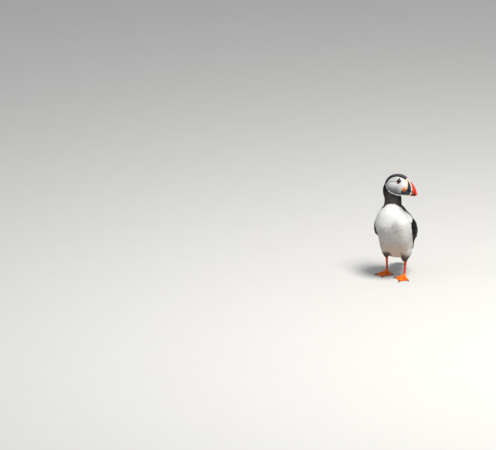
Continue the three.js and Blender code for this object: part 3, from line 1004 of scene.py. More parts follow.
def build_skin():
    """One skin for all the flesh, inside its solids by the depth of the coat."""
    points, faces, parts = flesh_surface()
    tree = BVHTree.FromPolygons(points.tolist(), faces.tolist())
    swollen = points + OVERLAP * point_normals(points, faces)
    skin = fused("skin", swollen, faces, look("plumage").skin_step / MM, passes=6)
    refine_head(skin)
    places = smoothed(skin, points_of(skin), passes=5)
    triangles, _ = triangles_of(skin)
    ups = point_normals(places, triangles)
    part = parts[[tree.find_nearest(place)[2] for place in places.tolist()]]
    depth = coat_depth(skin, places, triangles, ups, part)
    relief = face_relief(places, part) + fullness(places)
    places = places - ups * depth[:, None] + ups * relief[:, None]
    move_points(skin, places)
    measure(skin, part, "part")
    # Painted shade in the gaps between the stirred breast feathers, on the skin beneath them.
    painted_gap_shade = 0.75 * near(places, RUFFLE, 6)
    paint(skin, plumage_colours(places, part) * (1 - painted_gap_shade[:, None]))
    unwrap(skin)
    skin.data.materials.append(plumage_finish("skin plumage", 0.9, 0.10))
    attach(skin, BODY)
    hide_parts(*FLESH)


def unwrap(made):
    """Unwraps a mesh by its own shape."""
    made.data.uv_layers.new(name=UNWRAP)
    bpy.context.view_layer.objects.active = made
    made.select_set(True)
    bpy.ops.object.mode_set(mode="EDIT")
    bpy.ops.mesh.select_all(action="SELECT")
    bpy.ops.uv.smart_project(angle_limit=math.radians(62), island_margin=0.003)
    bpy.ops.object.mode_set(mode="OBJECT")
    made.select_set(False)


# ---- feathers

TUFT_SECTION = np.array([(-1, 0), (0, 1), (1, 0)])
VANE_SECTION = np.array([(-1, 0), (-0.55, 0.75), (-0.07, 0.8), (0, 1.25), (0.07, 0.8), (0.55, 0.75),
                         (1, 0), (0, -0.3)])
ENDS = np.array([0.0, 1.0])
ROOT_DEPTH = 0.3  # how far a root is sunk in the skin
TINT_LIMITS = (0.004, 0.9)  # the darkest and palest that a feather may be
BARB_SLOPE = 0.8  # how far along the shaft the barbs run as they run off it
PIECE_LIMIT = 185000  # triangles that one piece of the coat may hold
CAMBER_RADIUS = 38  # the body's own curve across a feather, in millimetres
ROOTS_TRIED = 3.2  # for each one that fits
STIFF_TURN = 0.8  # a stiff feather leaves the skin where the skin's turn has a smaller cosine
PALE, FACED = 0.3, 0.05  # brightness of white plumage, and share of the face on the neck


class Coat:
    """The skin as something for feathers to grow on."""

    def __init__(self):
        skin = bpy.data.objects["skin"]
        points = points_of(skin)
        self.faces, loops = triangles_of(skin)
        self.corners = points[self.faces]
        self.middles = self.corners.mean(axis=1)
        self.face_ups = unit(point_normals(points, self.faces)[self.faces].mean(axis=1))
        self.tree = BVHTree.FromPolygons(points.tolist(), self.faces.tolist())
        self.uvs = read(skin.data.uv_layers[UNWRAP].data, "uv", 2, np.float32)[loops]
        part = read(skin.data.attributes["part"].data, "value", 1, np.float32)[:, 0]
        self.part = np.rint(part).astype(int)[self.faces[:, 0]]
        self.pale = plumage_colours(self.middles, self.part).mean(axis=1) > PALE
        self.faced = (self.part == NECK_PART) & (head_colours(self.middles)[1] > FACED)

    def scattered(self, spacing_at, wanted, seed):
        """Roots spread over the faces that are wanted, at least their spacing apart."""
        draws = np.random.default_rng(seed)
        first, second, third = self.corners.transpose(1, 0, 2)
        area = np.linalg.norm(np.cross(second - first, third - first), axis=1) / 2
        spacing = spacing_at(self.middles)
        weight = np.where(wanted, area / spacing ** 2, 0)
        count = int(weight.sum() * ROOTS_TRIED)
        face = draws.choice(len(area), count, p=weight / weight.sum())
        a, b = draws.random(count), draws.random(count)
        over = a + b > 1
        a[over], b[over] = 1 - a[over], 1 - b[over]
        shares = np.stack([1 - a - b, a, b], 1)
        roots = np.einsum("nk,nkd->nd", shares, self.corners[face])
        cloud = KDTree(count)
        for i, root in enumerate(roots.tolist()):
            cloud.insert(root, i)
        cloud.balance()
        taken = np.zeros(count, bool)
        chosen = []
        for i, root in enumerate(roots.tolist()):
            if taken[i]:
                continue
            chosen.append(i)
            for _, other, _ in cloud.find_range(root, spacing[face[i]]):
                taken[other] = True
        uv = np.einsum("nk,nkd->nd", shares, self.uvs[face])
        return roots[chosen], face[chosen], uv[chosen]

    def nearest(self, places):
        """The skin's points nearest to some places, with their faces."""
        hits = [self.tree.find_nearest(place) for place in places.tolist()]
        return np.array([hit[0][:] for hit in hits]), np.array([hit[2] for hit in hits])

    def walked(self, roots, faces, headings, lengths, steps, stiff):
        """Places, normals and headings along each feather, kept on the skin. Where the skin turns
        sharply a stiff feather runs straight on."""
        here, ups = roots, self.face_ups[faces]
        heading = tangent(headings, ups)
        held = np.ones((len(roots), 1), bool)
        places, normals, ways, under = [here], [ups], [heading], [faces]
        for _ in range(steps):
            ahead = here + heading * (lengths / steps)[:, None]
            below, face = self.nearest(ahead)
            held &= (dot(self.face_ups[face], ups)[:, None] > STIFF_TURN) | (not stiff)
            here = np.where(held, below, ahead)
            ups = np.where(held, self.face_ups[face], ups)
            heading = tangent(heading, ups)
            places.append(here)
            normals.append(ups)
            ways.append(heading)
            under.append(face)
        return [np.stack(rows, 1) for rows in (places, normals, ways, under)]


def between(rows, shares):
    """Rows of values along feathers, read off at shares of their length."""
    steps = rows.shape[1] - 1
    place = np.clip(shares * steps, 0, steps - 1e-6)
    low = place.astype(int)
    part = (place - low)[None, :, None]
    return rows[:, low] * (1 - part) + rows[:, low + 1] * part


def tint_runs(marks, along, off, fringe):
    """How the feathers' brightness runs along them and towards their edges: painted shade darkens the roots
    and edges of pale feathers, and dark ones have paler tips and edges of their own.
    """
    # Painted shade at the roots and edges of pale feathers, where they lie under others.
    pale = 0.88 + 0.13 * along - 0.03 * off
    dark = 0.75 + 0.55 * along ** 2 + fringe * off * along
    return mixed(dark, pale, ease(0.1, 0.4, marks.mean(axis=1)))


def unwrap_feathers(made, roots, along, sideways, patch):
    """Gives each feather a small patch of the unwrap, round its root's place in the skin's."""
    u = roots[:, :1] + patch / 2 * sideways
    v = roots[:, 1:] + patch * (along - 0.5)
    point_uv = np.stack([u, v], 2).reshape(-1, 2)
    loops = read(made.data.loops, "vertex_index", 1, np.int32)[:, 0]
    layer = made.data.uv_layers.new(name=UNWRAP)
    layer.data.foreach_set("uv", np.clip(point_uv[loops], 0, 1).astype(np.float32).ravel())


def feather_mesh(name, coat, roots, faces, uvs, headings, size, style, seed):
    """One object of many feathers. size holds their lengths, half-widths and lifts, and style the
    shape that they share."""
    draws = np.random.default_rng(seed)
    lengths, half_widths, lifts = size
    side, up = style["section"].T
    shares = np.array(style["shares"])
    places, normals, ways, under = coat.walked(roots, faces, headings, lengths, style["steps"],
                                               style["stiff"])
    count, rings, corners = len(roots), len(shares), len(side)
    ups = unit(between(normals, shares))
    across = unit(np.cross(unit(between(ways, shares)), ups))
    rise = style["base"] + lifts[:, None] * shares ** style["sweep"]
    wide = half_widths[:, None] * style["widths"]
    camber = wide ** 2 / (2 * style["curve"])
    thick = style["thick"] * np.array(style["depths"])[None, :]
    centre = between(places, shares) + ups * rise[..., None]
    ring = (centre[:, :, None]
            + across[:, :, None] * (wide[:, :, None] * side)[..., None]
            + ups[:, :, None] * (thick[..., None] * up - camber[..., None] * side ** 2)[..., None])
    ends, end_ups = between(places, ENDS), unit(between(normals, ENDS))
    root = ends[:, 0] + end_ups[:, 0] * (style["base"] - ROOT_DEPTH)
    tip = ends[:, 1] + end_ups[:, 1] * (style["base"] + lifts)[:, None]
    points = np.concatenate([root[:, None], ring.reshape(count, -1, 3), tip[:, None]], 1)
    turned = unit(ups[:, :, None] + across[:, :, None] * (side * style["tilt"])[:, None])
    bends = np.concatenate([end_ups[:, :1], turned.reshape(count, -1, 3), end_ups[:, 1:]], 1)
    starts = (np.arange(count) * points.shape[1])[:, None, None]
    groups = [(group[None, :, ::-1] + starts).reshape(-1, group.shape[1])
              for group in ring_faces(rings, corners)]
    made = mesh_object(name, points.reshape(-1, 3), groups)
    marked = int(round(style["marked"] * (under.shape[1] - 1)))
    marks = plumage_colours(between(places, np.array([style["marked"]]))[:, 0], coat.part[under[:, marked]])
    if style["dark"]:
        marks[:] = tone("black")
    uneven = 1 + style["uneven"] * draws.normal(size=count) + style["patchy"] * waves(roots, 14, seed + 1)
    along = np.concatenate([[0], np.repeat(shares, corners), [1]])
    sideways = np.concatenate([[0], np.tile(side, rings), [0]])
    off = np.abs(sideways)
    run = tint_runs(marks, along, off, style["fringe"]) * uneven[:, None]
    paint(made, np.clip((marks[:, None] * run[..., None]).reshape(-1, 3), *TINT_LIMITS))
    unwrap_feathers(made, uvs, along, sideways, style["patch"])
    if style["barbs"]:
        barb = off * half_widths[:, None] + along * lengths[:, None] * BARB_SLOPE
        measure(made, barb.ravel(), "barb")
    made.data.normals_split_custom_set_from_vertices(bends.reshape(-1, 3).tolist())
    return made


def lay_coat(name, coat, grown, sizes, style, material, seed):
    """Lays feathers from roots, faces, unwrap places and headings, in pieces of a bounded size."""
    heights = grown[0][:, 2]
    each = 2 * len(style["section"]) * len(style["shares"])
    order = np.argsort(-heights, kind="stable")
    pieces = math.ceil(len(order) * each / PIECE_LIMIT)
    for number, chosen in enumerate(np.array_split(order, pieces)):
        made = feather_mesh(f"{name}_{number + 1}", coat, *[part[chosen] for part in grown],
                            [size[chosen] for size in sizes], style, seed=seed + number)
        made.data.materials.append(material)
        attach(made, BODY)


# A feather's section, its rings' places and widths as shares, its thickness, its root's height over
# the skin, the curve of its lift, its camber, how its edges shade, where along it its colour is
# read, how its tints vary, its patch of the unwrap, and whether it is black, stiff or barbed.
TUFT_STYLE = {
    "section": TUFT_SECTION, "shares": (0.12, 0.42, 0.74, 0.92), "widths": (0.5, 1.0, 0.86, 0.44),
    "depths": (0.6, 1.0, 0.8, 0.4), "thick": 0.10, "base": 0.08, "steps": 4, "sweep": 1.6,
    "curve": CAMBER_RADIUS, "tilt": 0.2, "marked": 0.7, "uneven": 0.035, "patchy": 0.03,
    "fringe": 0.5, "patch": 0.003, "dark": False, "stiff": False, "barbs": False,
}
SMALL_STYLE = {
    **TUFT_STYLE, "shares": (0.2, 0.6, 0.88), "widths": (0.6, 1.0, 0.6), "depths": (0.7, 1.0, 0.5),
    "thick": 0.12, "base": 0.02, "steps": 3, "curve": 19, "tilt": 0.45, "marked": 0.9, "uneven": 0.05,
}


def swerved(headings, ups, wander):
    """Headings turned aside by small amounts."""
    return unit(headings + np.cross(headings, ups) * wander[:, None])


def body_headings(coat, points, faces, seed):
    """The lie of the feathers down the body, with a little waywardness."""
    ups = coat.face_ups[faces]
    draws = np.random.default_rng(seed)
    wander = 0.10 * draws.normal(size=len(points)) + 0.12 * waves(points, 22, seed + 3)
    return swerved(tangent(body_place(points)[2], ups), ups, wander)


def head_headings(coat, points, faces, seed):
    """The lie of the head's feathers: back from the bill, and down towards the neck behind."""
    local = HEAD.local(points)
    ups = coat.face_ups[faces]
    back, down = HEAD.turned((0, 1, 0)), HEAD.turned((0, 0.35, -1))
    heading = mixed(back, down, ease(4, 22, local[:, 1]) * 0.8)
    heading = mixed(heading, body_place(points)[2], ease(-12, -26, local[:, 2]) * 0.8)
    draws = np.random.default_rng(seed)
    return swerved(tangent(heading, ups), ups, 0.14 * draws.normal(size=len(points)))


def lowest_point(node):
    """A solid's lowest point, in millimetres."""
    shell, _ = shell_of(node)
    return shell[np.argmin(shell[:, 2])]


def wing_headings(coat, points, faces, side_name, seed):
    """The lie of a wing's feathers: along the body above, and towards the wing's tip below."""
    aim = unit(lowest_point("wing_" + side_name) - points)
    ups = coat.face_ups[faces]
    low = ease(150, 105, points[:, 2]) * 0.75 + 0.15
    heading = tangent(mixed(body_place(points)[2], aim, low), ups)
    draws = np.random.default_rng(seed)
    return swerved(heading, ups, 0.05 * draws.normal(size=len(points)))


LORE = -21.5  # feathers of the head begin here, behind the bill's base
EYE_OPENING = 4.6  # radius of the bare patch round the eye


def build_head_coat():
    """Very short, fine feathers over the head."""
    coat = Coat()
    local = HEAD.local(coat.middles)
    wanted = (coat.part == HEAD_PART) | coat.faced
    wanted &= (local[:, 1] > LORE) & (eye_distance(local) > EYE_OPENING)

    def spacing(points):
        return 0.43 + 0.24 * ease(-4, 24, HEAD.local(points)[:, 1])

    roots, faces, uvs = coat.scattered(spacing, wanted, seed=31)
    headings = head_headings(coat, roots, faces, seed=32)
    draws = np.random.default_rng(33)
    back = ease(-14, 24, HEAD.local(roots)[:, 1])
    lengths = (1.8 + 2.2 * back) * draws.uniform(0.8, 1.2, len(roots))
    half_widths = (0.24 + 0.20 * back) * draws.uniform(0.85, 1.15, len(roots))
    lifts = (0.16 + 0.22 * back) * draws.uniform(0.7, 1.3, len(roots))
    lay_coat("head_coat", coat, (roots, faces, uvs, headings), (lengths, half_widths, lifts),
             SMALL_STYLE, plumage_finish("head plumage", 0.5, 0.03), seed=34)


NECK_END, BREAST_START = 18, 78  # down the body's line: its small feathers grow larger between them


def tuft_sizes(points):
    """Spacing of the body's small feathers, with length, half-width and lift to match."""
    settings = look("plumage")
    grown = ease(NECK_END, BREAST_START, body_place(points)[0])
    spacing = (0.62 + 0.38 * grown) * settings.tuft_spacing / MM
    lengths = (0.52 + 0.48 * grown) * settings.tuft_length / MM
    half_widths = (0.62 + 0.38 * grown) * settings.tuft_width / MM / 2
    return spacing, lengths, half_widths, 0.34 + 0.26 * grown


MANTLE_MIDDLE = (MANTLE_X, -18)
EDGE_ON = 0.4  # a wing's skin that faces out less than this is its edge, and grows body feathers


def build_body_coat():
    """Soft overlapping feathers over neck, breast, belly, back and thighs."""
    coat = Coat()
    wanted = np.isin(coat.part, (NECK_PART, TRUNK_PART, *THIGH_PARTS)) & ~coat.faced
    outwards = unit(coat.middles[:, :2] - MANTLE_MIDDLE)
    margin = dot(outwards, coat.face_ups[:, :2]) < EDGE_ON
    wanted |= np.isin(coat.part, WING_PARTS) & (coat.pale | margin)
    roots, faces, uvs = coat.scattered(lambda points: tuft_sizes(points)[0], wanted, seed=41)
    ruffled = near(roots, RUFFLE, 6.5)
    kept = np.random.default_rng(40).random(len(roots)) > 0.55 * ruffled
    roots, faces, uvs, ruffled = roots[kept], faces[kept], uvs[kept], ruffled[kept]
    headings = body_headings(coat, roots, faces, seed=42)
    _, lengths, half_widths, lifts = tuft_sizes(roots)
    draws = np.random.default_rng(43)
    thigh = np.isin(coat.part[faces], THIGH_PARTS)
    lengths = lengths * np.where(thigh, 0.75, 1) * draws.uniform(0.82, 1.18, len(roots))
    half_widths = half_widths * np.where(thigh, 0.8, 1) * draws.uniform(0.85, 1.15, len(roots))
    half_widths *= 1 + 0.5 * ruffled
    lifts = lifts * draws.uniform(0.7, 1.3, len(roots)) * (1 + 1.6 * ruffled)
    lay_coat("body_coat", coat, (roots, faces, uvs, headings), (lengths, half_widths, lifts),
             TUFT_STYLE, plumage_finish("body plumage", 0.7, 0.04), seed=44)


# ---- wing and tail feathers

COVERT_STYLE = {
    **TUFT_STYLE, "section": VANE_SECTION, "shares": (0.08, 0.2, 0.38, 0.56, 0.72, 0.85, 0.94, 0.985),
    "widths": (0.45, 0.7, 0.9, 1.0, 1.0, 0.88, 0.64, 0.34), "depths": (1, 1, 1, 1, 0.9, 0.8, 0.6, 0.4),
    "thick": 0.22, "base": 0.10, "steps": 6, "sweep": 1.1, "tilt": 0.3, "patch": 0.006, "barbs": True,
    "fringe": 1.1, "uneven": 0.10, "patchy": 0.05, "dark": True, "stiff": True,
}
QUILL_STYLE = {
    **COVERT_STYLE, "shares": (0.04, 0.12, 0.3, 0.5, 0.7, 0.85, 0.94, 0.985),
    "widths": (0.5, 0.75, 0.95, 1.0, 0.92, 0.74, 0.5, 0.25), "thick": 0.28, "steps": 10, "sweep": 0.9,
}

# Rows of a folded wing from the shoulder down: the height of their roots, the feathers' length and
# half-width, their distance across the wing, the tips' lift and the style.
LESSER_ROWS = [(height, 10.5, 2.5, 3.5, 0.75, COVERT_STYLE) for height in np.arange(157, 121, -4.3)]
MEDIAN_ROWS = [(height, 14.5, 3.1, 4.0, 0.85, COVERT_STYLE) for height in np.arange(120, 104, -5.2)]
QUILL_ROWS = [(101, 19, 3.5, 4.0, 0.85, COVERT_STYLE), (96, 30, 3.9, 4.6, 0.75, QUILL_STYLE),
              (85, 34, 3.7, 4.4, 0.7, QUILL_STYLE), (74, 30, 3.2, 3.8, 0.6, QUILL_STYLE),
              (63, 22, 2.8, 3.2, 0.5, QUILL_STYLE)]
OUTSIDE = 90  # rays towards the body start this far from its middle
WING_RADIUS = 38
ROW_SLOPE = 9  # a row rises this far for each radian towards the back
ROW_TURNS = (-1.5, 1.7)  # radians round the wing between which roots are looked for
FACING = 0.25  # a root's skin faces the ray that found it at least this much
SHORTEST = 0.55  # a feather that would keep less than this share of its length is left out


def wing_roots(coat, side_name, height, gap, shift):
    """Roots of one row of a wing's feathers, from its front edge to its inner one."""
    side = SIDES[side_name]
    roots, faces = [], []
    first, last = ROW_TURNS
    for turn in np.arange(first + shift * gap / WING_RADIUS, last, gap / WING_RADIUS):
        level = height + ROW_SLOPE * turn
        middle = Vector((MANTLE_X, np.interp(level, MANTLE_HEIGHTS, MANTLE_BACKS), level))
        way = Vector((side * math.cos(turn), math.sin(turn), 0))
        place, _, face, _ = coat.tree.ray_cast(middle + way * OUTSIDE, -way)
        if place is None or coat.part[face] != FLESH.index("wing_" + side_name) or coat.pale[face]:
            continue
        if Vector(coat.face_ups[face]).dot(way) > FACING:
            roots.append(place[:])
            faces.append(face)
    return np.array(roots).reshape(-1, 3), np.array(faces, int)


def face_uvs(coat, faces):
    """The unwrap's places of some faces' middles."""
    return coat.uvs[faces].mean(axis=1)


def share_on_wing(coat, side_name, roots, faces, headings, lengths):
    """The share of each feather that lies on its wing before the skin turns away under it."""
    under = coat.walked(roots, faces, headings, lengths, 8, False)[3]
    level = np.einsum("nkd,nd->nk", coat.face_ups[under], coat.face_ups[faces]) > 0.3
    level &= coat.part[under] == FLESH.index("wing_" + side_name)
    return np.clip(np.cumprod(level, axis=1).mean(axis=1) + 0.06, 0, 1)


def build_wing_feathers(side_name):
    """The rows of coverts and quills on one folded wing."""
    coat = Coat()
    tip = lowest_point("wing_" + side_name)
    material = vane_finish("wing feathers " + side_name)
    for style, label in ((COVERT_STYLE, "coverts"), (QUILL_STYLE, "quills")):
        sets = []
        rows = enumerate(LESSER_ROWS + MEDIAN_ROWS + QUILL_ROWS)
        for number, (height, reach, half_width, gap, lift, row_style) in rows:
            if row_style is not style:
                continue
            roots, faces = wing_roots(coat, side_name, height, gap, 0.5 * (number % 2))
            lengths = np.minimum(reach, np.linalg.norm(roots - tip, axis=1) * 0.97)
            sets.append((roots, faces, lengths, np.full(len(roots), half_width),
                         np.full(len(roots), lift)))
        roots, faces, lengths, half_widths, lifts = [np.concatenate(parts) for parts in zip(*sets)]
        draws = np.random.default_rng(51)
        lengths = lengths * draws.uniform(0.93, 1.05, len(roots))
        lifts = lifts * draws.uniform(0.85, 1.2, len(roots))
        headings = wing_headings(coat, roots, faces, side_name, seed=52)
        share = share_on_wing(coat, side_name, roots, faces, headings, lengths)
        kept = share > SHORTEST
        grown = (roots, faces, face_uvs(coat, faces), headings)
        sizes = (lengths * share, half_widths * share ** 0.5, lifts * share ** 0.5)
        lay_coat(f"wing_{label}_{side_name}", coat, [part[kept] for part in grown],
                 [size[kept] for size in sizes], style, material, seed=53)


TAIL_ROWS = (  # from above or below, how far back, length, half-width, count, lift
    (1, 30, 33, 3.1, 9, 0.7), (-1, 31, 31, 2.9, 7, 0.5),
)
TAIL_FAN = 0.16
TAIL_HALF_WIDTH = 10.5  # between the roots of its outermost feathers


def build_tail_feathers():
    """The tail's feathers, a fan above and below."""
    coat = Coat()
    low, high = [np.array(corner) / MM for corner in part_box("tail")]
    middle = (low + high) / 2
    for upwards, back, reach, half_width, count, lift in TAIL_ROWS:
        roots, faces, fans = [], [], []
        way = Vector((0, 0, -upwards))
        for share in np.linspace(-1, 1, count):
            place = Vector((middle[0] + share * TAIL_HALF_WIDTH, back - 2.5 * abs(share), middle[2]))
            place, _, face, _ = coat.tree.ray_cast(place - way * OUTSIDE, way)
            if place is not None and coat.part[face] not in THIGH_PARTS + WING_PARTS:
                roots.append(place[:])
                faces.append(face)
                fans.append(share)
        roots, faces, fans = np.array(roots), np.array(faces), np.array(fans)
        way = unit(BODY_LINE[-1] - BODY_LINE[-2])
        headings = tangent(way + np.outer(fans * TAIL_FAN, (1, 0, 0)), coat.face_ups[faces])
        lengths = reach - 3.0 * np.abs(fans) ** 2
        lay_coat("tail_top" if upwards > 0 else "tail_under", coat,
                 (roots, faces, face_uvs(coat, faces), headings),
                 (lengths, np.full(len(roots), half_width), np.full(len(roots), lift)),
                 QUILL_STYLE, vane_finish("tail feathers"), seed=61)


# ---- bill

BILL_BASE = 21  # from the head's centre forward to the bill's base, in the head's own units
BILL_LENGTH = 38.5
BILL_TOP, BILL_BOTTOM = 17, -21.5  # culmen and underside at the base
BILL_TIP = -14.5
GAPE, GAPE_DROP, HOOK = -8.5, 3.5, 3.3
BILL_HALF_WIDTH, BILL_BOW, BILL_SEAT = 7.6, 4, 0.16
MOUTH_GAP = 0.35
BILL_MIDDLE = (BILL_TOP + BILL_BOTTOM) / 2
GROOVES = (4.6, 9.2, 13.2)  # ahead of the chevron
CHEVRON_EDGE = (1.75, 1.35)
PLATE_EDGE = (-1.25, -1.6)
BILL_TAPER, BILL_TIP_HALF_WIDTH = 0.9, 0.3
EDGE_TAPER = 0.6  # share by which the bill narrows towards its top and bottom edges
BILL_SQUARENESS = 2.6
# How far the bill's markings stand out or lie deep. The strength scales them all.
CHEVRON_HEIGHT, GROOVE_DEPTH, RIDGE_HEIGHT, RIDGE_BACK, NOSTRIL_DEPTH = 0.16, 0.28, 0.95, 0.45, 0.6
RELIEF_STRENGTH = 0.9
UNDERBILL_END = 0.87
CHEVRON = [(-25.6, 16.2), (-29.6, 13.2), (-34.3, 9.5), (-38.8, 5.2), (-42.2, 0.4), (-44.0, -4.4),
           (-44.2, -9.7), (-43.4, -14.5), (-40.6, -18.6), (-38, -22)]
RIDGE = [(-22.4, 16.8), (-24.2, 14.3), (-27.9, 9.4), (-30.8, 3.4), (-31.8, -1.8), (-31.2, -5.8),
         (-30.0, -9.4)]
RIDGE_HALF_WIDTH = 1.5
FOOT_LINE = [(-22, -20.4), (-30, -19.9), (-36, -19.6), (-41.0, -18.0)]
NOSTRIL = [(-33.6, -6.3), (-39.0, -8.0)]


def culmen(share):
    """Height of the bill's top at a share of its length."""
    return BILL_TOP + (BILL_TIP - BILL_TOP) * (0.55 * share + 0.45 * np.maximum(share, 0) ** 4)


def gape_line(share):
    """Height of the line between the bill's halves."""
    return GAPE - GAPE_DROP * share - HOOK * np.maximum(share, 0) ** 6


def underside(share):
    """Height of the bill's bottom."""
    return BILL_BOTTOM + (BILL_TIP - 1 - BILL_BOTTOM) * np.maximum(share, 0) ** 1.5


def bill_half(top, bottom, outer_is_top, end, rows, columns):
    """One half of the bill in the head's frame, between a top and a bottom line."""
    def place(row, angle):
        share = -BILL_SEAT + (end + BILL_SEAT) * row
        cap = cap_at(row, 14)
        high, low = top(share), bottom(share)
        rise = rounded(np.sin(angle), BILL_SQUARENESS)
        outer = (1 + rise if outer_is_top else 1 - rise) / 2
        width = BILL_HALF_WIDTH * (1 - BILL_TAPER * np.maximum(share, 0) ** 1.3) + BILL_TIP_HALF_WIDTH
        width = width * (1 - EDGE_TAPER * outer ** 1.8)
        height = (high + low) / 2 + (high - low) / 2 * rise * cap
        from_middle = (height - BILL_MIDDLE) / (BILL_TOP - BILL_MIDDLE)
        bow = BILL_BOW * (1 - share) * (1 - from_middle ** 2)
        return np.column_stack([rounded(np.cos(angle), BILL_SQUARENESS) * width * cap,
                                -BILL_BASE - BILL_LENGTH * share - bow, height])
    return wrapped(rows, columns, place)


def ahead_of(side, line):
    """How far points lie towards the bill's tip from a line down its side."""
    backs, heights = zip(*line[::-1])
    return np.interp(side[:, 1], heights, backs) - side[:, 0]


def upper_markings(shade, local):
    """Adds the upper half's horn ridge, with the white behind it, and the nostril."""
    side = local[:, 1:]
    ridge = ahead_of(side, RIDGE)
    horn = mixed(tone("ridge"), tone("face_white"), ease(0.4, 2.0, -ridge))
    edge = ease(RIDGE_HALF_WIDTH + 0.2, RIDGE_HALF_WIDTH - 0.2, np.abs(ridge))
    shade = mixed(shade, horn, np.where(ridge < 0, 1.0, edge))
    slit, _ = line_distance(side, NOSTRIL)
    return mixed(shade, tone("slate") * 0.3, ease(0.55, 0.3, slit))


def lower_markings(shade, local, ahead):
    """Adds the lower half's pale foot line and the dark feathers of the chin."""
    foot, _ = line_distance(local[:, 1:], FOOT_LINE)
    pale = tone("chevron") * (1, 0.86, 0.76)
    shade = mixed(shade, pale, ease(1.15, 0.75, foot) * ease(0.5, -1.0, ahead))
    chin_edge = -24.5 + 0.32 * (local[:, 2] + 10) + 0.5 * waves(local, 1.6, 72)
    return mixed(shade, tone("collar"), ease(-0.4, 0.4, local[:, 1] - chin_edge))


def bill_colours(local, upper):
    """The colours of one half of the bill at points of the head's frame."""
    ahead = ahead_of(local[:, 1:], CHEVRON) + waves(local, 5, 71) * 0.15
    slate, deep, cream = tone("slate"), tone("deep_red"), tone("chevron")
    below_top = culmen((-local[:, 1] - BILL_BASE) / BILL_LENGTH) - local[:, 2]
    # Darker red just beyond the chevron is the horn's own. Painted shade runs down the side below the culmen
    # and over the whole lower half.
    red_depth_and_shade = ease(4.4, 2.4, ahead) + 0.55 * ease(6, 14, below_top) * ease(10, 2, ahead)
    shade = mixed(tone("red"), deep, np.clip(red_depth_and_shade + (0 if upper else 0.55), 0, 1))
    scar = 0.45 * bell(ahead - 4.7, 0.45) * ease(2, 6, below_top)
    shade = mixed(shade, cream * (0.9, 0.62, 0.55), scar)
    # Painted shade in the middle groove.
    shade = mixed(shade, deep, 0.6 * bell(ahead - GROOVES[1], 0.45))
    # Painted shade on the lower half beyond the chevron.
    if not upper:
        shade = mixed(shade, deep * 0.35, 0.85 * ease(6, 9, ahead))
    shade = mixed(shade, cream, ease(*CHEVRON_EDGE, np.abs(ahead)))
    plate = mixed(slate, slate * 1.5, ease(4, -8, ahead + 6) * 0.6)
    shade = mixed(shade, plate, ease(*PLATE_EDGE, ahead))
    shade = upper_markings(shade, local) if upper else lower_markings(shade, local, ahead)
    return np.clip(shade, 0, 1)


def bill_relief(local, upper):
    """How far the bill's surface stands out: ridge, chevron edges, grooves and nostril."""
    side = local[:, 1:]
    ahead = ahead_of(side, CHEVRON)
    across = np.abs(local[:, 0]) > 0.3
    relief = CHEVRON_HEIGHT * ease(1.8, 1.2, np.abs(ahead))
    for groove in GROOVES:
        relief -= GROOVE_DEPTH * bell(ahead - groove, 0.55) * np.clip((groove + 20) / 26, 0, 1)
    relief += 0.12 * np.sin(ahead * 1.9) * ease(-2, -4, ahead) * 0.4
    if upper:
        ridge = ahead_of(side, RIDGE)
        relief += RIDGE_HEIGHT * ease(RIDGE_HALF_WIDTH + 0.35, RIDGE_HALF_WIDTH - 0.9, np.abs(ridge))
        relief += RIDGE_BACK * ease(-1, -3, ridge)
        slit, _ = line_distance(side, NOSTRIL)
        relief -= NOSTRIL_DEPTH * bell(slit, 0.5) * across
    return relief


def build_bill():
    """The upper and lower halves of the bill, with ridge, plate, chevron and grooves."""
    material = horn_finish("bill horn")
    halves = {
        "upper_bill": (culmen, lambda s: gape_line(s) + MOUTH_GAP / 2, True, 1.0, 190, 128),
        "lower_bill": (lambda s: gape_line(s) - MOUTH_GAP / 2, underside, False, UNDERBILL_END, 150, 96),
    }
    for name, (top, bottom, upper, end, rows, columns) in halves.items():
        local, groups, _, _ = bill_half(top, bottom, upper, end, rows, columns)
        groups = outward(local, groups)
        ups = point_normals(local, triangulated(groups))
        shaped = local + ups * bill_relief(local, upper)[:, None] * RELIEF_STRENGTH
        made = mesh_object(name + "_horn", HEAD.world(shaped), groups)
        paint(made, bill_colours(local, upper))
        measure(made, ahead_of(local[:, 1:], CHEVRON), "ahead")
        from_ridge = np.abs(ahead_of(local[:, 1:], RIDGE))
        measure(made, ease(RIDGE_HALF_WIDTH + 0.3, 1.2, from_ridge) * upper, "ridge")
        made.data.materials.append(material)
        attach(made, BODY)
        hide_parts(name)


# ---- rosettes, eyes and their plates

DOME_SAG = 46  # the face's own curve under a dome
DOME_UNDERSIDE = 0.6  # a dome's reach into the face, as a share of its height


def domed(name, centre, out, up, half_length, half_height, depth, shape, relief):
    """A closed dome on the face, in the head's frame. shape bends its outline and relief its top."""
    out = unit(np.array(out, float))
    up = unit(np.array(up, float) - out * np.dot(up, out))
    along = np.cross(up, out)

    def place(row, angle):
        spread = np.sin(row * math.pi)
        x, y = np.cos(angle) * spread, np.sin(angle) * spread
        bent = shape(x, y)
        x, y = x * bent[0], y * bent[1]
        top = np.cos(row * math.pi)
        height = np.where(top > 0, top, DOME_UNDERSIDE * top) * depth
        height = height + relief(x, y, spread, angle) * (top > -0.2)
        sag = (x * half_length) ** 2 / DOME_SAG + (y * half_height) ** 2 / DOME_SAG
        return (centre + np.outer(x * half_length, along) + np.outer(y * half_height, up)
                + np.outer(height - sag, out))

    local, groups, row, angle = wrapped(40, 96, place)
    return head_object(name, local, groups), row, angle


ROSETTE = (8.5, -26.3, -8.1)
ROSETTE_OUT = (0.80, -0.60, 0.02)
ROSETTE_SIZE = (4.0, 4.3, 2.2)  # half-length, half-height and depth
PLEATS, PLEAT_HEIGHT = 9, 0.20
MOUTH_DEPTH = 1.0  # of the fold across a rosette where the mouth ends


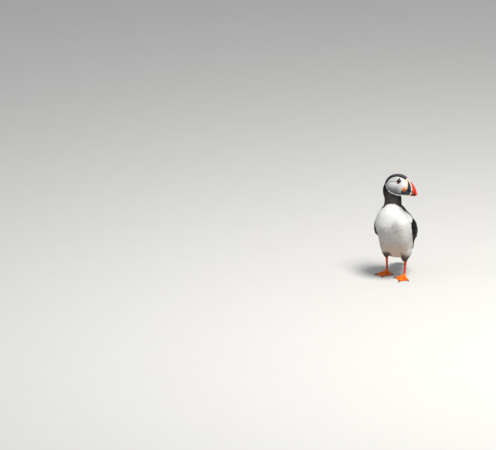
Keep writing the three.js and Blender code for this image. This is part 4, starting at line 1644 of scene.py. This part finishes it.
def build_rosettes():
    """The folded orange skin at each corner of the bill."""
    material = fleshy_finish("rosette skin")
    for side_name, side in SIDES.items():
        mirror = np.array([side, 1, 1])

        def pleats(spread, angle):
            return np.sin(angle * PLEATS + 2.2 * spread)

        def folds(x, y, spread, angle):
            mouth = bell(y + 0.06 * np.sin(4 * x), 0.16) * ease(1.0, 0.4, np.abs(x))
            return pleats(spread, angle) * PLEAT_HEIGHT * spread ** 1.5 - MOUTH_DEPTH * mouth * spread ** 0.01

        made, row, angle = domed(f"rosette_{side_name}", np.array(ROSETTE) * mirror,
                                 np.array(ROSETTE_OUT) * mirror, (0, 0, 1), *ROSETTE_SIZE,
                                 lambda x, y: (1, 1), folds)
        spread = np.sin(row * math.pi)
        # Darker in the middle, with painted shade in the mouth's fold and in the pleats' troughs.
        heart = bell(spread * np.sin(angle), 0.30) * ease(0.95, 0.45, np.abs(spread * np.cos(angle)))
        fold = heart + 0.5 * bell(spread, 0.42) + 0.25 * (pleats(spread, angle) < -0.5)
        fold = np.clip(fold, 0, 1)
        paint(made, mixed(tone("rosette"), tone("rosette_fold"), fold))
        made.data.materials.append(material)
        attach(made, BODY)
        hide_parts(f"gape_rosette_{side_name}")


EYE_RADIUS = 4.2
EYE_OUT = (0.90, -0.43, 0.06)
RING_DEPTH = 2.35  # from the eye's centre out to the ring's plane
PUPIL, IRIS_EDGE = 20, 46  # degrees from the eye's axis
PUPIL_TONE, RIM_TONE = 0.003, 0.006
RING_RADIUS, RING_TUBE = 3.35, 0.56
RING_CORNER = 0.85  # how far the ring is drawn out at its back
RING_WRINKLES, WRINKLE_HEIGHT = 14, 0.10  # the height is a share of the tube


def upper_outline(x, y):
    """The upper plate narrows to its top."""
    return 1 - 0.80 * ease(-0.7, 1.0, y), 1


def lower_outline(x, y):
    """The lower plate thins towards its ends."""
    return 1, 1 - 0.3 * np.abs(x)


# Each plate's place outward, upward and backward of the eye's centre, its half-length, half-height
# and depth, its outline, and its brightness beside the plate colour.
EYE_PLATES = {
    "upper": ((1.9, 5.0, -0.6), (2.5, 4.0, 1.0), upper_outline, 1),
    "lower": ((2.15, -4.9, 0.9), (3.4, 0.8, 0.7), lower_outline, 5),
}


def eye_parts(side):
    """An eye's centre and its outward, upward and level directions in the head's frame.

    Times the side, the level one points back on both sides.
    """
    mirror = np.array([side, 1, 1])
    out = unit(np.array(EYE_OUT) * mirror)
    up = unit(np.array([0, 0, 1.0]) - out * out[2])
    return EYE_PLACE * mirror, out, up, np.cross(up, out)


def build_eyeball(side_name, side, material):
    """One eyeball, with its pupil, streaked iris and dark rim."""
    centre, out, up, along = eye_parts(side)

    def ball(row, angle):
        polar = row * math.pi
        return centre + EYE_RADIUS * (np.outer(np.cos(polar), out)
                                      + np.outer(np.sin(polar) * np.cos(angle), along)
                                      + np.outer(np.sin(polar) * np.sin(angle), up))

    local, groups, row, angle = wrapped(90, 64, ball)
    made = head_object(f"eyeball_{side_name}", local, groups)
    polar = row * 180
    streak = 1 + 0.25 * np.sin(angle * 23) * np.sin(angle * 9 + 1)
    iris = tone("iris") * streak[:, None] * 1.5
    shade = mixed(iris, PUPIL_TONE, ease(PUPIL + 2, PUPIL - 2, polar))
    shade = mixed(shade, RIM_TONE, ease(IRIS_EDGE - 8, IRIS_EDGE, polar))
    paint(made, np.clip(shade, 0, 1))
    made.data.materials.append(material)
    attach(made, BODY)
    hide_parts(f"eye_{side_name}")


def build_ring(side_name, side, material):
    """The bare ring round one eye: wrinkled, drawn out at its back, and red, with painted shade darkening its
    upper part to the plates' colour.
    """
    centre, out, up, along = eye_parts(side)

    def ring(row, angle):
        turn = row * 2 * math.pi
        corner = RING_CORNER * ease(0.55, 1.0, np.cos(turn) * side)
        radius = RING_RADIUS + 0.22 * np.cos(turn) ** 4 + corner
        wrinkled = 1 + WRINKLE_HEIGHT * np.sin(turn * RING_WRINKLES)
        tube = RING_TUBE * wrinkled * (1 - 0.35 * ease(0.3, 1, np.sin(turn)))
        reach = radius + tube * np.cos(angle)
        lift = RING_DEPTH - 0.35 * np.abs(np.cos(turn)) + tube * 0.85 * np.sin(angle)
        return (centre + np.outer(reach * np.cos(turn), along) + np.outer(reach * np.sin(turn) * 0.96, up)
                + np.outer(lift, out))

    made = looped(f"eye_ring_{side_name}", ring, 120, 18)
    reach = HEAD.local(points_of(made)) - centre
    angle = np.degrees(np.arctan2(reach @ up, side * (reach @ along)))
    # Red round the lower part. Painted shade turns the upper part to the plates' dark colour.
    redness = ease(105, 65, np.abs((angle + 60 + 180) % 360 - 180))
    paint(made, mixed(tone("plate"), tone("ring"), redness))
    made.data.materials.append(material)
    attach(made, BODY)


def build_plates(side_name, side, material):
    """The horny plates above and below one eye."""
    centre, out, up, along = eye_parts(side)
    for name, (place, size, outline, brightness) in EYE_PLATES.items():
        middle = centre + out * place[0] + up * place[1] + along * side * place[2]
        made, row, _ = domed(f"plate_{name}_{side_name}", middle, out, up, *size, outline,
                             lambda x, y, spread, angle: 0.06 * np.sin(7 * x + 5 * y))
        edge = ease(0.7, 1.0, np.sin(row * math.pi))
        plate = tone("plate") * brightness
        paint(made, mixed(plate, plate * 0.5, edge))
        made.data.materials.append(material)
        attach(made, BODY)
        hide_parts(f"eye_plate_{name}_{side_name}")


def build_eyes():
    """Eyeballs, the bare rings round them, and the horny plates above and below."""
    ball_finish = glossy_finish("eye")
    ring_finish = fleshy_finish("eye ring")
    plate_finish = fleshy_finish("eye plate")
    for side_name, side in SIDES.items():
        build_eyeball(side_name, side, ball_finish)
        build_ring(side_name, side, ring_finish)
        build_plates(side_name, side, plate_finish)


def looped(name, place, rows, columns):
    """A closed ring: place takes rows of 0 to 1 round it and angles round its tube."""
    ring, tube = np.meshgrid(np.arange(rows), np.arange(columns), indexing="ij")
    ring, tube = ring.ravel(), tube.ravel()
    local = place(ring / rows, tube * 2 * math.pi / columns)
    next_ring, next_tube = (ring + 1) % rows, (tube + 1) % columns
    quads = np.stack([ring * columns + tube, next_ring * columns + tube,
                      next_ring * columns + next_tube, ring * columns + next_tube], 1)
    return head_object(name, local, [quads])


# ---- legs and claws

TOE_THICK = {"inner": 2.3, "middle": 2.7, "outer": 2.5}
HEEL_HEIGHT = 33
CLAW_GAP = 0.35  # a toe ends this far behind its claw
TOE_SEAT = 3  # a toe starts this far behind the shank's foot
TOE_TAPER, TOE_FLATNESS, TOE_ROOT_RISE = 0.32, 0.72, 4
JOINTS, JOINT_SWELL = 3, 0.09
CLAW_SEAT = 1.7  # a claw's root lies this far inside its toe
# A claw's half-thickness and lift: shares of its toe's thickness, and the least of each.
CLAW_THICKNESS, CLAW_POINT = 0.52, 0.28
CLAW_ARCH, CLAW_LIFT = 0.62, 0.65
FLAT_FOOT = 0.35  # skin below this height lies on the ground
# The shank's heights, with its half-width and half-depth there.
SHANK_HEIGHTS = (1, 8, 16.5, 26, 33, 39)
SHANK_WIDTHS = (3.0, 2.5, 2.05, 2.4, 3.2, 2.7)
SHANK_DEPTHS = (3.2, 2.8, 2.4, 2.7, 3.5, 2.8)
WEB_TOP, WEB_FOOT = 1.7, 0.45
WEB_HOLLOW = 0.99  # how far the web's edge is drawn in between two toes
WEB_REACH = 0.97  # share of the toes' length that the web runs along
WEB_FOLDS, FOLD_HEIGHT, WEB_SAG = 9, 0.22, 0.25
SCUTE = 1.15  # length of a scale on the toes and shank


class Leg:
    """The line of one leg's shank from the ground up, and its toes, read off its solids."""

    def __init__(self, side_name):
        shank, _ = shell_of("tarsus_" + side_name)
        ankle = shank[shank[:, 2] < shank[:, 2].min() + 1].mean(axis=0)
        heel = shank[np.abs(shank[:, 2] - HEEL_HEIGHT) < 4].mean(axis=0)
        self.slope = (heel - ankle) / (heel[2] - ankle[2])
        self.ground = ankle - self.slope * ankle[2]
        self.toes = {}
        for toe in TOE_NAMES:
            claw, _ = shell_of(f"claw_{toe}_{side_name}")
            flat = claw[:, :2] - self.ground[:2]
            reach = np.linalg.norm(flat, axis=1)
            way = unit(flat[np.argmax(reach)])
            self.toes[toe] = (way, reach.min() - CLAW_GAP, reach.max())

    def toe_points(self, toe, along, aside, height):
        """World places from distances along and beside a toe."""
        way = self.toes[toe][0]
        flat = self.ground[:2] + np.outer(along, way) + np.outer(aside, (-way[1], way[0]))
        return np.column_stack([flat, height])


def toe_form(leg, toe):
    """A toe: low, with a pad at each joint, and rising to the ankle at its root."""
    thick, reach = TOE_THICK[toe], leg.toes[toe][1]

    def place(row, angle):
        cap = cap_at(row, 6)
        joint = 1 + JOINT_SWELL * np.cos(row * math.pi * 2 * JOINTS)
        size = thick * (1 - TOE_TAPER * row) * joint
        rise = np.sin(angle)
        height = size * TOE_FLATNESS + rise * size * cap
        height = height + np.where(rise > 0, TOE_ROOT_RISE * (1 - row) ** 3 * rise * cap, 0)
        along = (reach + TOE_SEAT) * row - TOE_SEAT
        return leg.toe_points(toe, along, np.cos(angle) * size * cap, np.maximum(height, 0))

    return wrapped(60, 28, place)[:2]


def shank_form(leg):
    """The shank from inside the foot to inside the thigh, with the heel's knob."""
    low, high = SHANK_HEIGHTS[0], SHANK_HEIGHTS[-1]

    def place(row, angle):
        height = low + (high - low) * row
        cap = cap_at(row, 10)
        centre = leg.ground + np.outer(height, leg.slope)
        wide = np.interp(height, SHANK_HEIGHTS, SHANK_WIDTHS) * cap
        deep = np.interp(height, SHANK_HEIGHTS, SHANK_DEPTHS) * cap
        return centre + np.column_stack([np.cos(angle) * wide, np.sin(angle) * deep, 0 * row])

    return wrapped(60, 28, place)[:2]


def web_form(leg, first, second):
    """The web between two toes: a thin closed sheet with fine folds that fan from the ankle."""
    steps, rings = 44, 30
    start, end = [leg.toes[toe][0] * leg.toes[toe][1] * WEB_REACH for toe in (first, second)]
    hollow = (start + end) / 2 * WEB_HOLLOW
    share, out = np.meshgrid(np.linspace(0, 1, steps), np.linspace(0, 1, rings), indexing="ij")
    share, out = share.ravel(), out.ravel()
    edge = (np.outer((1 - share) ** 2, start) + np.outer(2 * share * (1 - share), hollow)
            + np.outer(share ** 2, end))
    flat = leg.ground[:2] + edge * out[:, None]
    fold = FOLD_HEIGHT * np.sin(share * math.pi * WEB_FOLDS) * np.sin(share * math.pi)
    fold = fold * ease(0.15, 0.8, out)
    sag = WEB_SAG * np.sin(share * math.pi) * out
    top = np.column_stack([flat, WEB_TOP - sag + fold])
    foot = np.column_stack([flat, WEB_FOOT + 0 * share + np.maximum(fold, 0) * 0.5])
    count = steps * rings
    index = np.arange(count).reshape(steps, rings)
    sheet = np.stack([index[:-1, :-1], index[1:, :-1], index[1:, 1:], index[:-1, 1:]], -1)
    sheet = sheet.reshape(-1, 4)
    rim = np.concatenate([index[:, 0], index[-1, 1:], index[-2::-1, -1], index[0, -2:0:-1]])
    after = np.roll(rim, -1)
    walls = np.stack([rim, rim + count, after + count, after], 1)
    points = np.vstack([top, foot])
    return points, [np.concatenate([sheet, sheet[:, ::-1] + count, walls]), np.empty((0, 3), int)]


def leg_marks(leg, points, ups):
    """A leg's colours, the run of its scales and how scaly each point is."""
    web, toe_tone, shank, sole = tone("web"), tone("toe"), tone("shank"), tone("sole")
    best = np.full(len(points), np.inf)
    run = np.zeros(len(points))
    for toe in TOE_NAMES:
        way = leg.toes[toe][0]
        flat = points[:, :2] - leg.ground[:2]
        along = flat @ way
        aside = np.abs(flat @ np.array([-way[1], way[0]])) + np.maximum(-along, 0)
        nearer = aside < best
        best[nearer] = aside[nearer]
        run[nearer] = along[nearer]
    on_toe = ease(2.5, 1.1, best)
    rough = waves(points, 4, 81)
    shade = mixed(web * (1 + 0.10 * rough[:, None]), toe_tone, on_toe * 0.75 * ease(1.0, 2.4, points[:, 2]))
    high = ease(4, 12, points[:, 2])
    shade = mixed(shade, shank, high)
    shade = mixed(shade, web, bell(points[:, 2] - (HEEL_HEIGHT - 2), 3.5) * 0.6)
    # Painted shade where the foot's skin faces down near the ground.
    shade = mixed(shade, sole, ease(-0.3, -0.8, ups[:, 2]) * ease(3, 1.5, points[:, 2]))
    run = np.where(high > 0.5, points[:, 2], run)
    scaly = np.maximum(on_toe * ease(0.2, 0.6, ups[:, 2]), 0.6 * high * ease(0.2, -0.4, ups[:, 1]))
    return np.clip(shade, 0, 1), run, scaly


def build_legs():
    """Shank, toes and webs of each leg as one skin."""
    step = look("leg").skin_step / MM
    material = leg_finish("leg skin")
    for side_name in SIDES:
        leg = Leg(side_name)
        forms = [toe_form(leg, toe) for toe in TOE_NAMES]
        forms += [shank_form(leg), web_form(leg, "inner", "middle"), web_form(leg, "middle", "outer")]
        forms = [(points, triangulated(outward(points, groups))) for points, groups in forms]
        made = fused("leg_" + side_name, *stacked(forms), step, passes=2)
        places = points_of(made)
        places[:, 2] = np.maximum(places[:, 2] - places[:, 2].min(), 0)
        places[:, 2] = np.where(places[:, 2] < FLAT_FOOT, 0, places[:, 2])
        move_points(made, places)
        triangles, _ = triangles_of(made)
        shade, run, scaly = leg_marks(leg, places, point_normals(places, triangles))
        paint(made, shade)
        measure(made, run / SCUTE, "run")
        measure(made, scaly, "scaly")
        made.data.materials.append(material)
        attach(made, BODY)
        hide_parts("tarsus_" + side_name, "foot_" + side_name)


def build_claws():
    """A curved claw beyond each toe."""
    material = claw_finish("claw horn")
    for side_name in SIDES:
        leg = Leg(side_name)
        for toe in TOE_NAMES:
            thick = TOE_THICK[toe]
            _, root, tip = leg.toes[toe]

            def place(row, angle):
                cap = cap_at(row, 8)
                size = thick * CLAW_THICKNESS * (1 - row ** 1.5) + CLAW_POINT
                lift = CLAW_LIFT + thick * CLAW_ARCH * (1 - row ** 2)
                keel = np.where(np.sin(angle) < 0, 0.75, 1.0)
                return leg.toe_points(toe, root - CLAW_SEAT + (tip - root + CLAW_SEAT) * row,
                                      np.cos(angle) * size * 0.8 * cap,
                                      lift + size * np.sin(angle) * cap * keel)

            points, groups, _, _ = wrapped(36, 24, place)
            made = mesh_object(f"nail_{toe}_{side_name}", points, outward(points, groups))
            made.data.materials.append(material)
            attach(made, BODY)
            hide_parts(f"claw_{toe}_{side_name}")


# ---- stage

# The lights: degrees round from the camera, degrees up, metres from the bird, size and colour.
LIGHTS = {
    "key": (40, 66, 2.2, 0.75, (1.0, 0.965, 0.91)),
    "fill": (-65, 25, 2.4, 1.6, (0.86, 0.93, 1.0)),
}
SKY_COLOUR = (0.93, 0.96, 1.0)
FLOOR_SIZE = 30


def area_light(name, place, aim, size, power, shade):
    """A square soft light aimed at a point."""
    lamp = bpy.data.lights.new(name, "AREA")
    lamp.size = size
    lamp.energy = power
    lamp.color = shade
    made = linked(name, lamp)
    made.location = place
    made.rotation_euler = (aim - place).to_track_quat("-Z", "Y").to_euler()


def direction(azimuth, elevation):
    """The direction from the bird to something round it. Azimuth 0 is straight ahead of it."""
    return Vector((math.sin(azimuth) * math.cos(elevation), -math.cos(azimuth) * math.cos(elevation),
                   math.sin(elevation)))


def build_stage():
    """Camera, soft lights, pale floor and sky."""
    settings = look("stage")
    scene = bpy.context.scene
    low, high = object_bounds()
    middle = Vector((0, 0, (low.z + high.z) / 2))
    towards = direction(settings.azimuth, settings.elevation)
    lens = bpy.data.cameras.new("camera")
    lens.sensor_width = 36
    lens.lens = lens.sensor_width * settings.distance / settings.view_width
    lens.clip_end = 100
    camera = linked("camera", lens)
    camera.location = middle + towards * settings.distance
    straight = (-towards).to_track_quat("-Z", "Y")
    aside = Vector((-settings.bird_right, -settings.bird_above, -settings.distance))
    camera.rotation_euler = (straight @ Vector((0, 0, -1)).rotation_difference(aside)).to_euler()
    scene.camera = camera
    for name, (turn, height, distance, size, shade) in LIGHTS.items():
        way = direction(settings.azimuth + math.radians(turn), math.radians(height))
        area_light(name, middle + way * distance, middle, size, getattr(settings, name + "_power"), shade)
    world = bpy.data.worlds.new("sky")
    world.use_nodes = True
    background = world.node_tree.nodes["Background"]
    background.inputs["Color"].default_value = (*SKY_COLOUR, 1)
    background.inputs["Strength"].default_value = settings.sky
    scene.world = world
    scene.view_settings.view_transform = "Standard"
    bpy.ops.mesh.primitive_plane_add(size=FLOOR_SIZE, location=(0, 0, 0))
    floor = bpy.context.active_object
    floor.name = "floor"
    paper = Finish("floor paper", {"Roughness": 0.9, "Specular IOR Level": 0.2})
    shade = tone("floor")
    base = paper.blended(paper.noise(60), shade, 0.97 * shade)
    floor.data.materials.append(paper.wear(Base_Color=base))
    floor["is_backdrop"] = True


# ---- operators and panel

class PUFFIN_OT_skin(bpy.types.Operator):
    """Make the skin that stands for the flesh"""
    bl_idname = "puffin.skin"
    bl_label = "Skin"

    def execute(self, context):
        build_skin()
        return {"FINISHED"}


class PUFFIN_OT_coat(bpy.types.Operator):
    """Grow the small feathers of the head and the body"""
    bl_idname = "puffin.coat"
    bl_label = "Coat"

    def execute(self, context):
        build_head_coat()
        build_body_coat()
        return {"FINISHED"}


class PUFFIN_OT_long_feathers(bpy.types.Operator):
    """Lay the coverts and quills of the folded wings and the tail's feathers"""
    bl_idname = "puffin.long_feathers"
    bl_label = "Wing and tail feathers"

    def execute(self, context):
        for side_name in SIDES:
            build_wing_feathers(side_name)
        build_tail_feathers()
        return {"FINISHED"}


class PUFFIN_OT_bill(bpy.types.Operator):
    """Make the bill's two halves"""
    bl_idname = "puffin.bill"
    bl_label = "Bill"

    def execute(self, context):
        build_bill()
        return {"FINISHED"}


class PUFFIN_OT_rosettes(bpy.types.Operator):
    """Make the folded skin at the corners of the bill"""
    bl_idname = "puffin.rosettes"
    bl_label = "Rosettes"

    def execute(self, context):
        build_rosettes()
        return {"FINISHED"}


class PUFFIN_OT_eyes(bpy.types.Operator):
    """Make the eyes with their rings and plates"""
    bl_idname = "puffin.eyes"
    bl_label = "Eyes"

    def execute(self, context):
        build_eyes()
        return {"FINISHED"}


class PUFFIN_OT_legs(bpy.types.Operator):
    """Make the legs, toes and webs"""
    bl_idname = "puffin.legs"
    bl_label = "Legs"

    def execute(self, context):
        build_legs()
        return {"FINISHED"}


class PUFFIN_OT_claws(bpy.types.Operator):
    """Make the claws"""
    bl_idname = "puffin.claws"
    bl_label = "Claws"

    def execute(self, context):
        build_claws()
        return {"FINISHED"}


class PUFFIN_OT_stage(bpy.types.Operator):
    """Set up the camera, lights and floor"""
    bl_idname = "puffin.stage"
    bl_label = "Stage"

    def execute(self, context):
        build_stage()
        return {"FINISHED"}


OPERATORS = (PUFFIN_OT_skin, PUFFIN_OT_coat, PUFFIN_OT_long_feathers, PUFFIN_OT_bill,
             PUFFIN_OT_rosettes, PUFFIN_OT_eyes, PUFFIN_OT_legs, PUFFIN_OT_claws, PUFFIN_OT_stage)


class PUFFIN_PT_sidebar(bpy.types.Panel):
    """The puffin's pieces and settings"""
    bl_idname = "PUFFIN_PT_sidebar"
    bl_label = "Puffin"
    bl_space_type = "VIEW_3D"
    bl_region_type = "UI"
    bl_category = "Puffin"

    def draw(self, context):
        for operator in OPERATORS:
            self.layout.operator(operator.bl_idname)
        for name, group in SETTINGS.items():
            box = self.layout.box()
            box.label(text=name.capitalize())
            for field in group.__annotations__:
                box.prop(getattr(context.scene, name), field)


def register():
    for group in SETTINGS.values():
        bpy.utils.register_class(group)
    for name, group in SETTINGS.items():
        setattr(bpy.types.Scene, name, bpy.props.PointerProperty(type=group))
    for operator in OPERATORS:
        bpy.utils.register_class(operator)
    bpy.utils.register_class(PUFFIN_PT_sidebar)


def unregister():
    bpy.utils.unregister_class(PUFFIN_PT_sidebar)
    for operator in reversed(OPERATORS):
        bpy.utils.unregister_class(operator)
    for name in SETTINGS:
        delattr(bpy.types.Scene, name)
    for group in reversed(SETTINGS.values()):
        bpy.utils.unregister_class(group)


def main():
    """Makes every piece in order."""
    register()
    bpy.ops.puffin.skin()
    bpy.ops.puffin.coat()
    bpy.ops.puffin.long_feathers()
    bpy.ops.puffin.bill()
    bpy.ops.puffin.rosettes()
    bpy.ops.puffin.eyes()
    bpy.ops.puffin.legs()
    bpy.ops.puffin.claws()
    bpy.ops.puffin.stage()


if __name__ == "__main__":
    main()
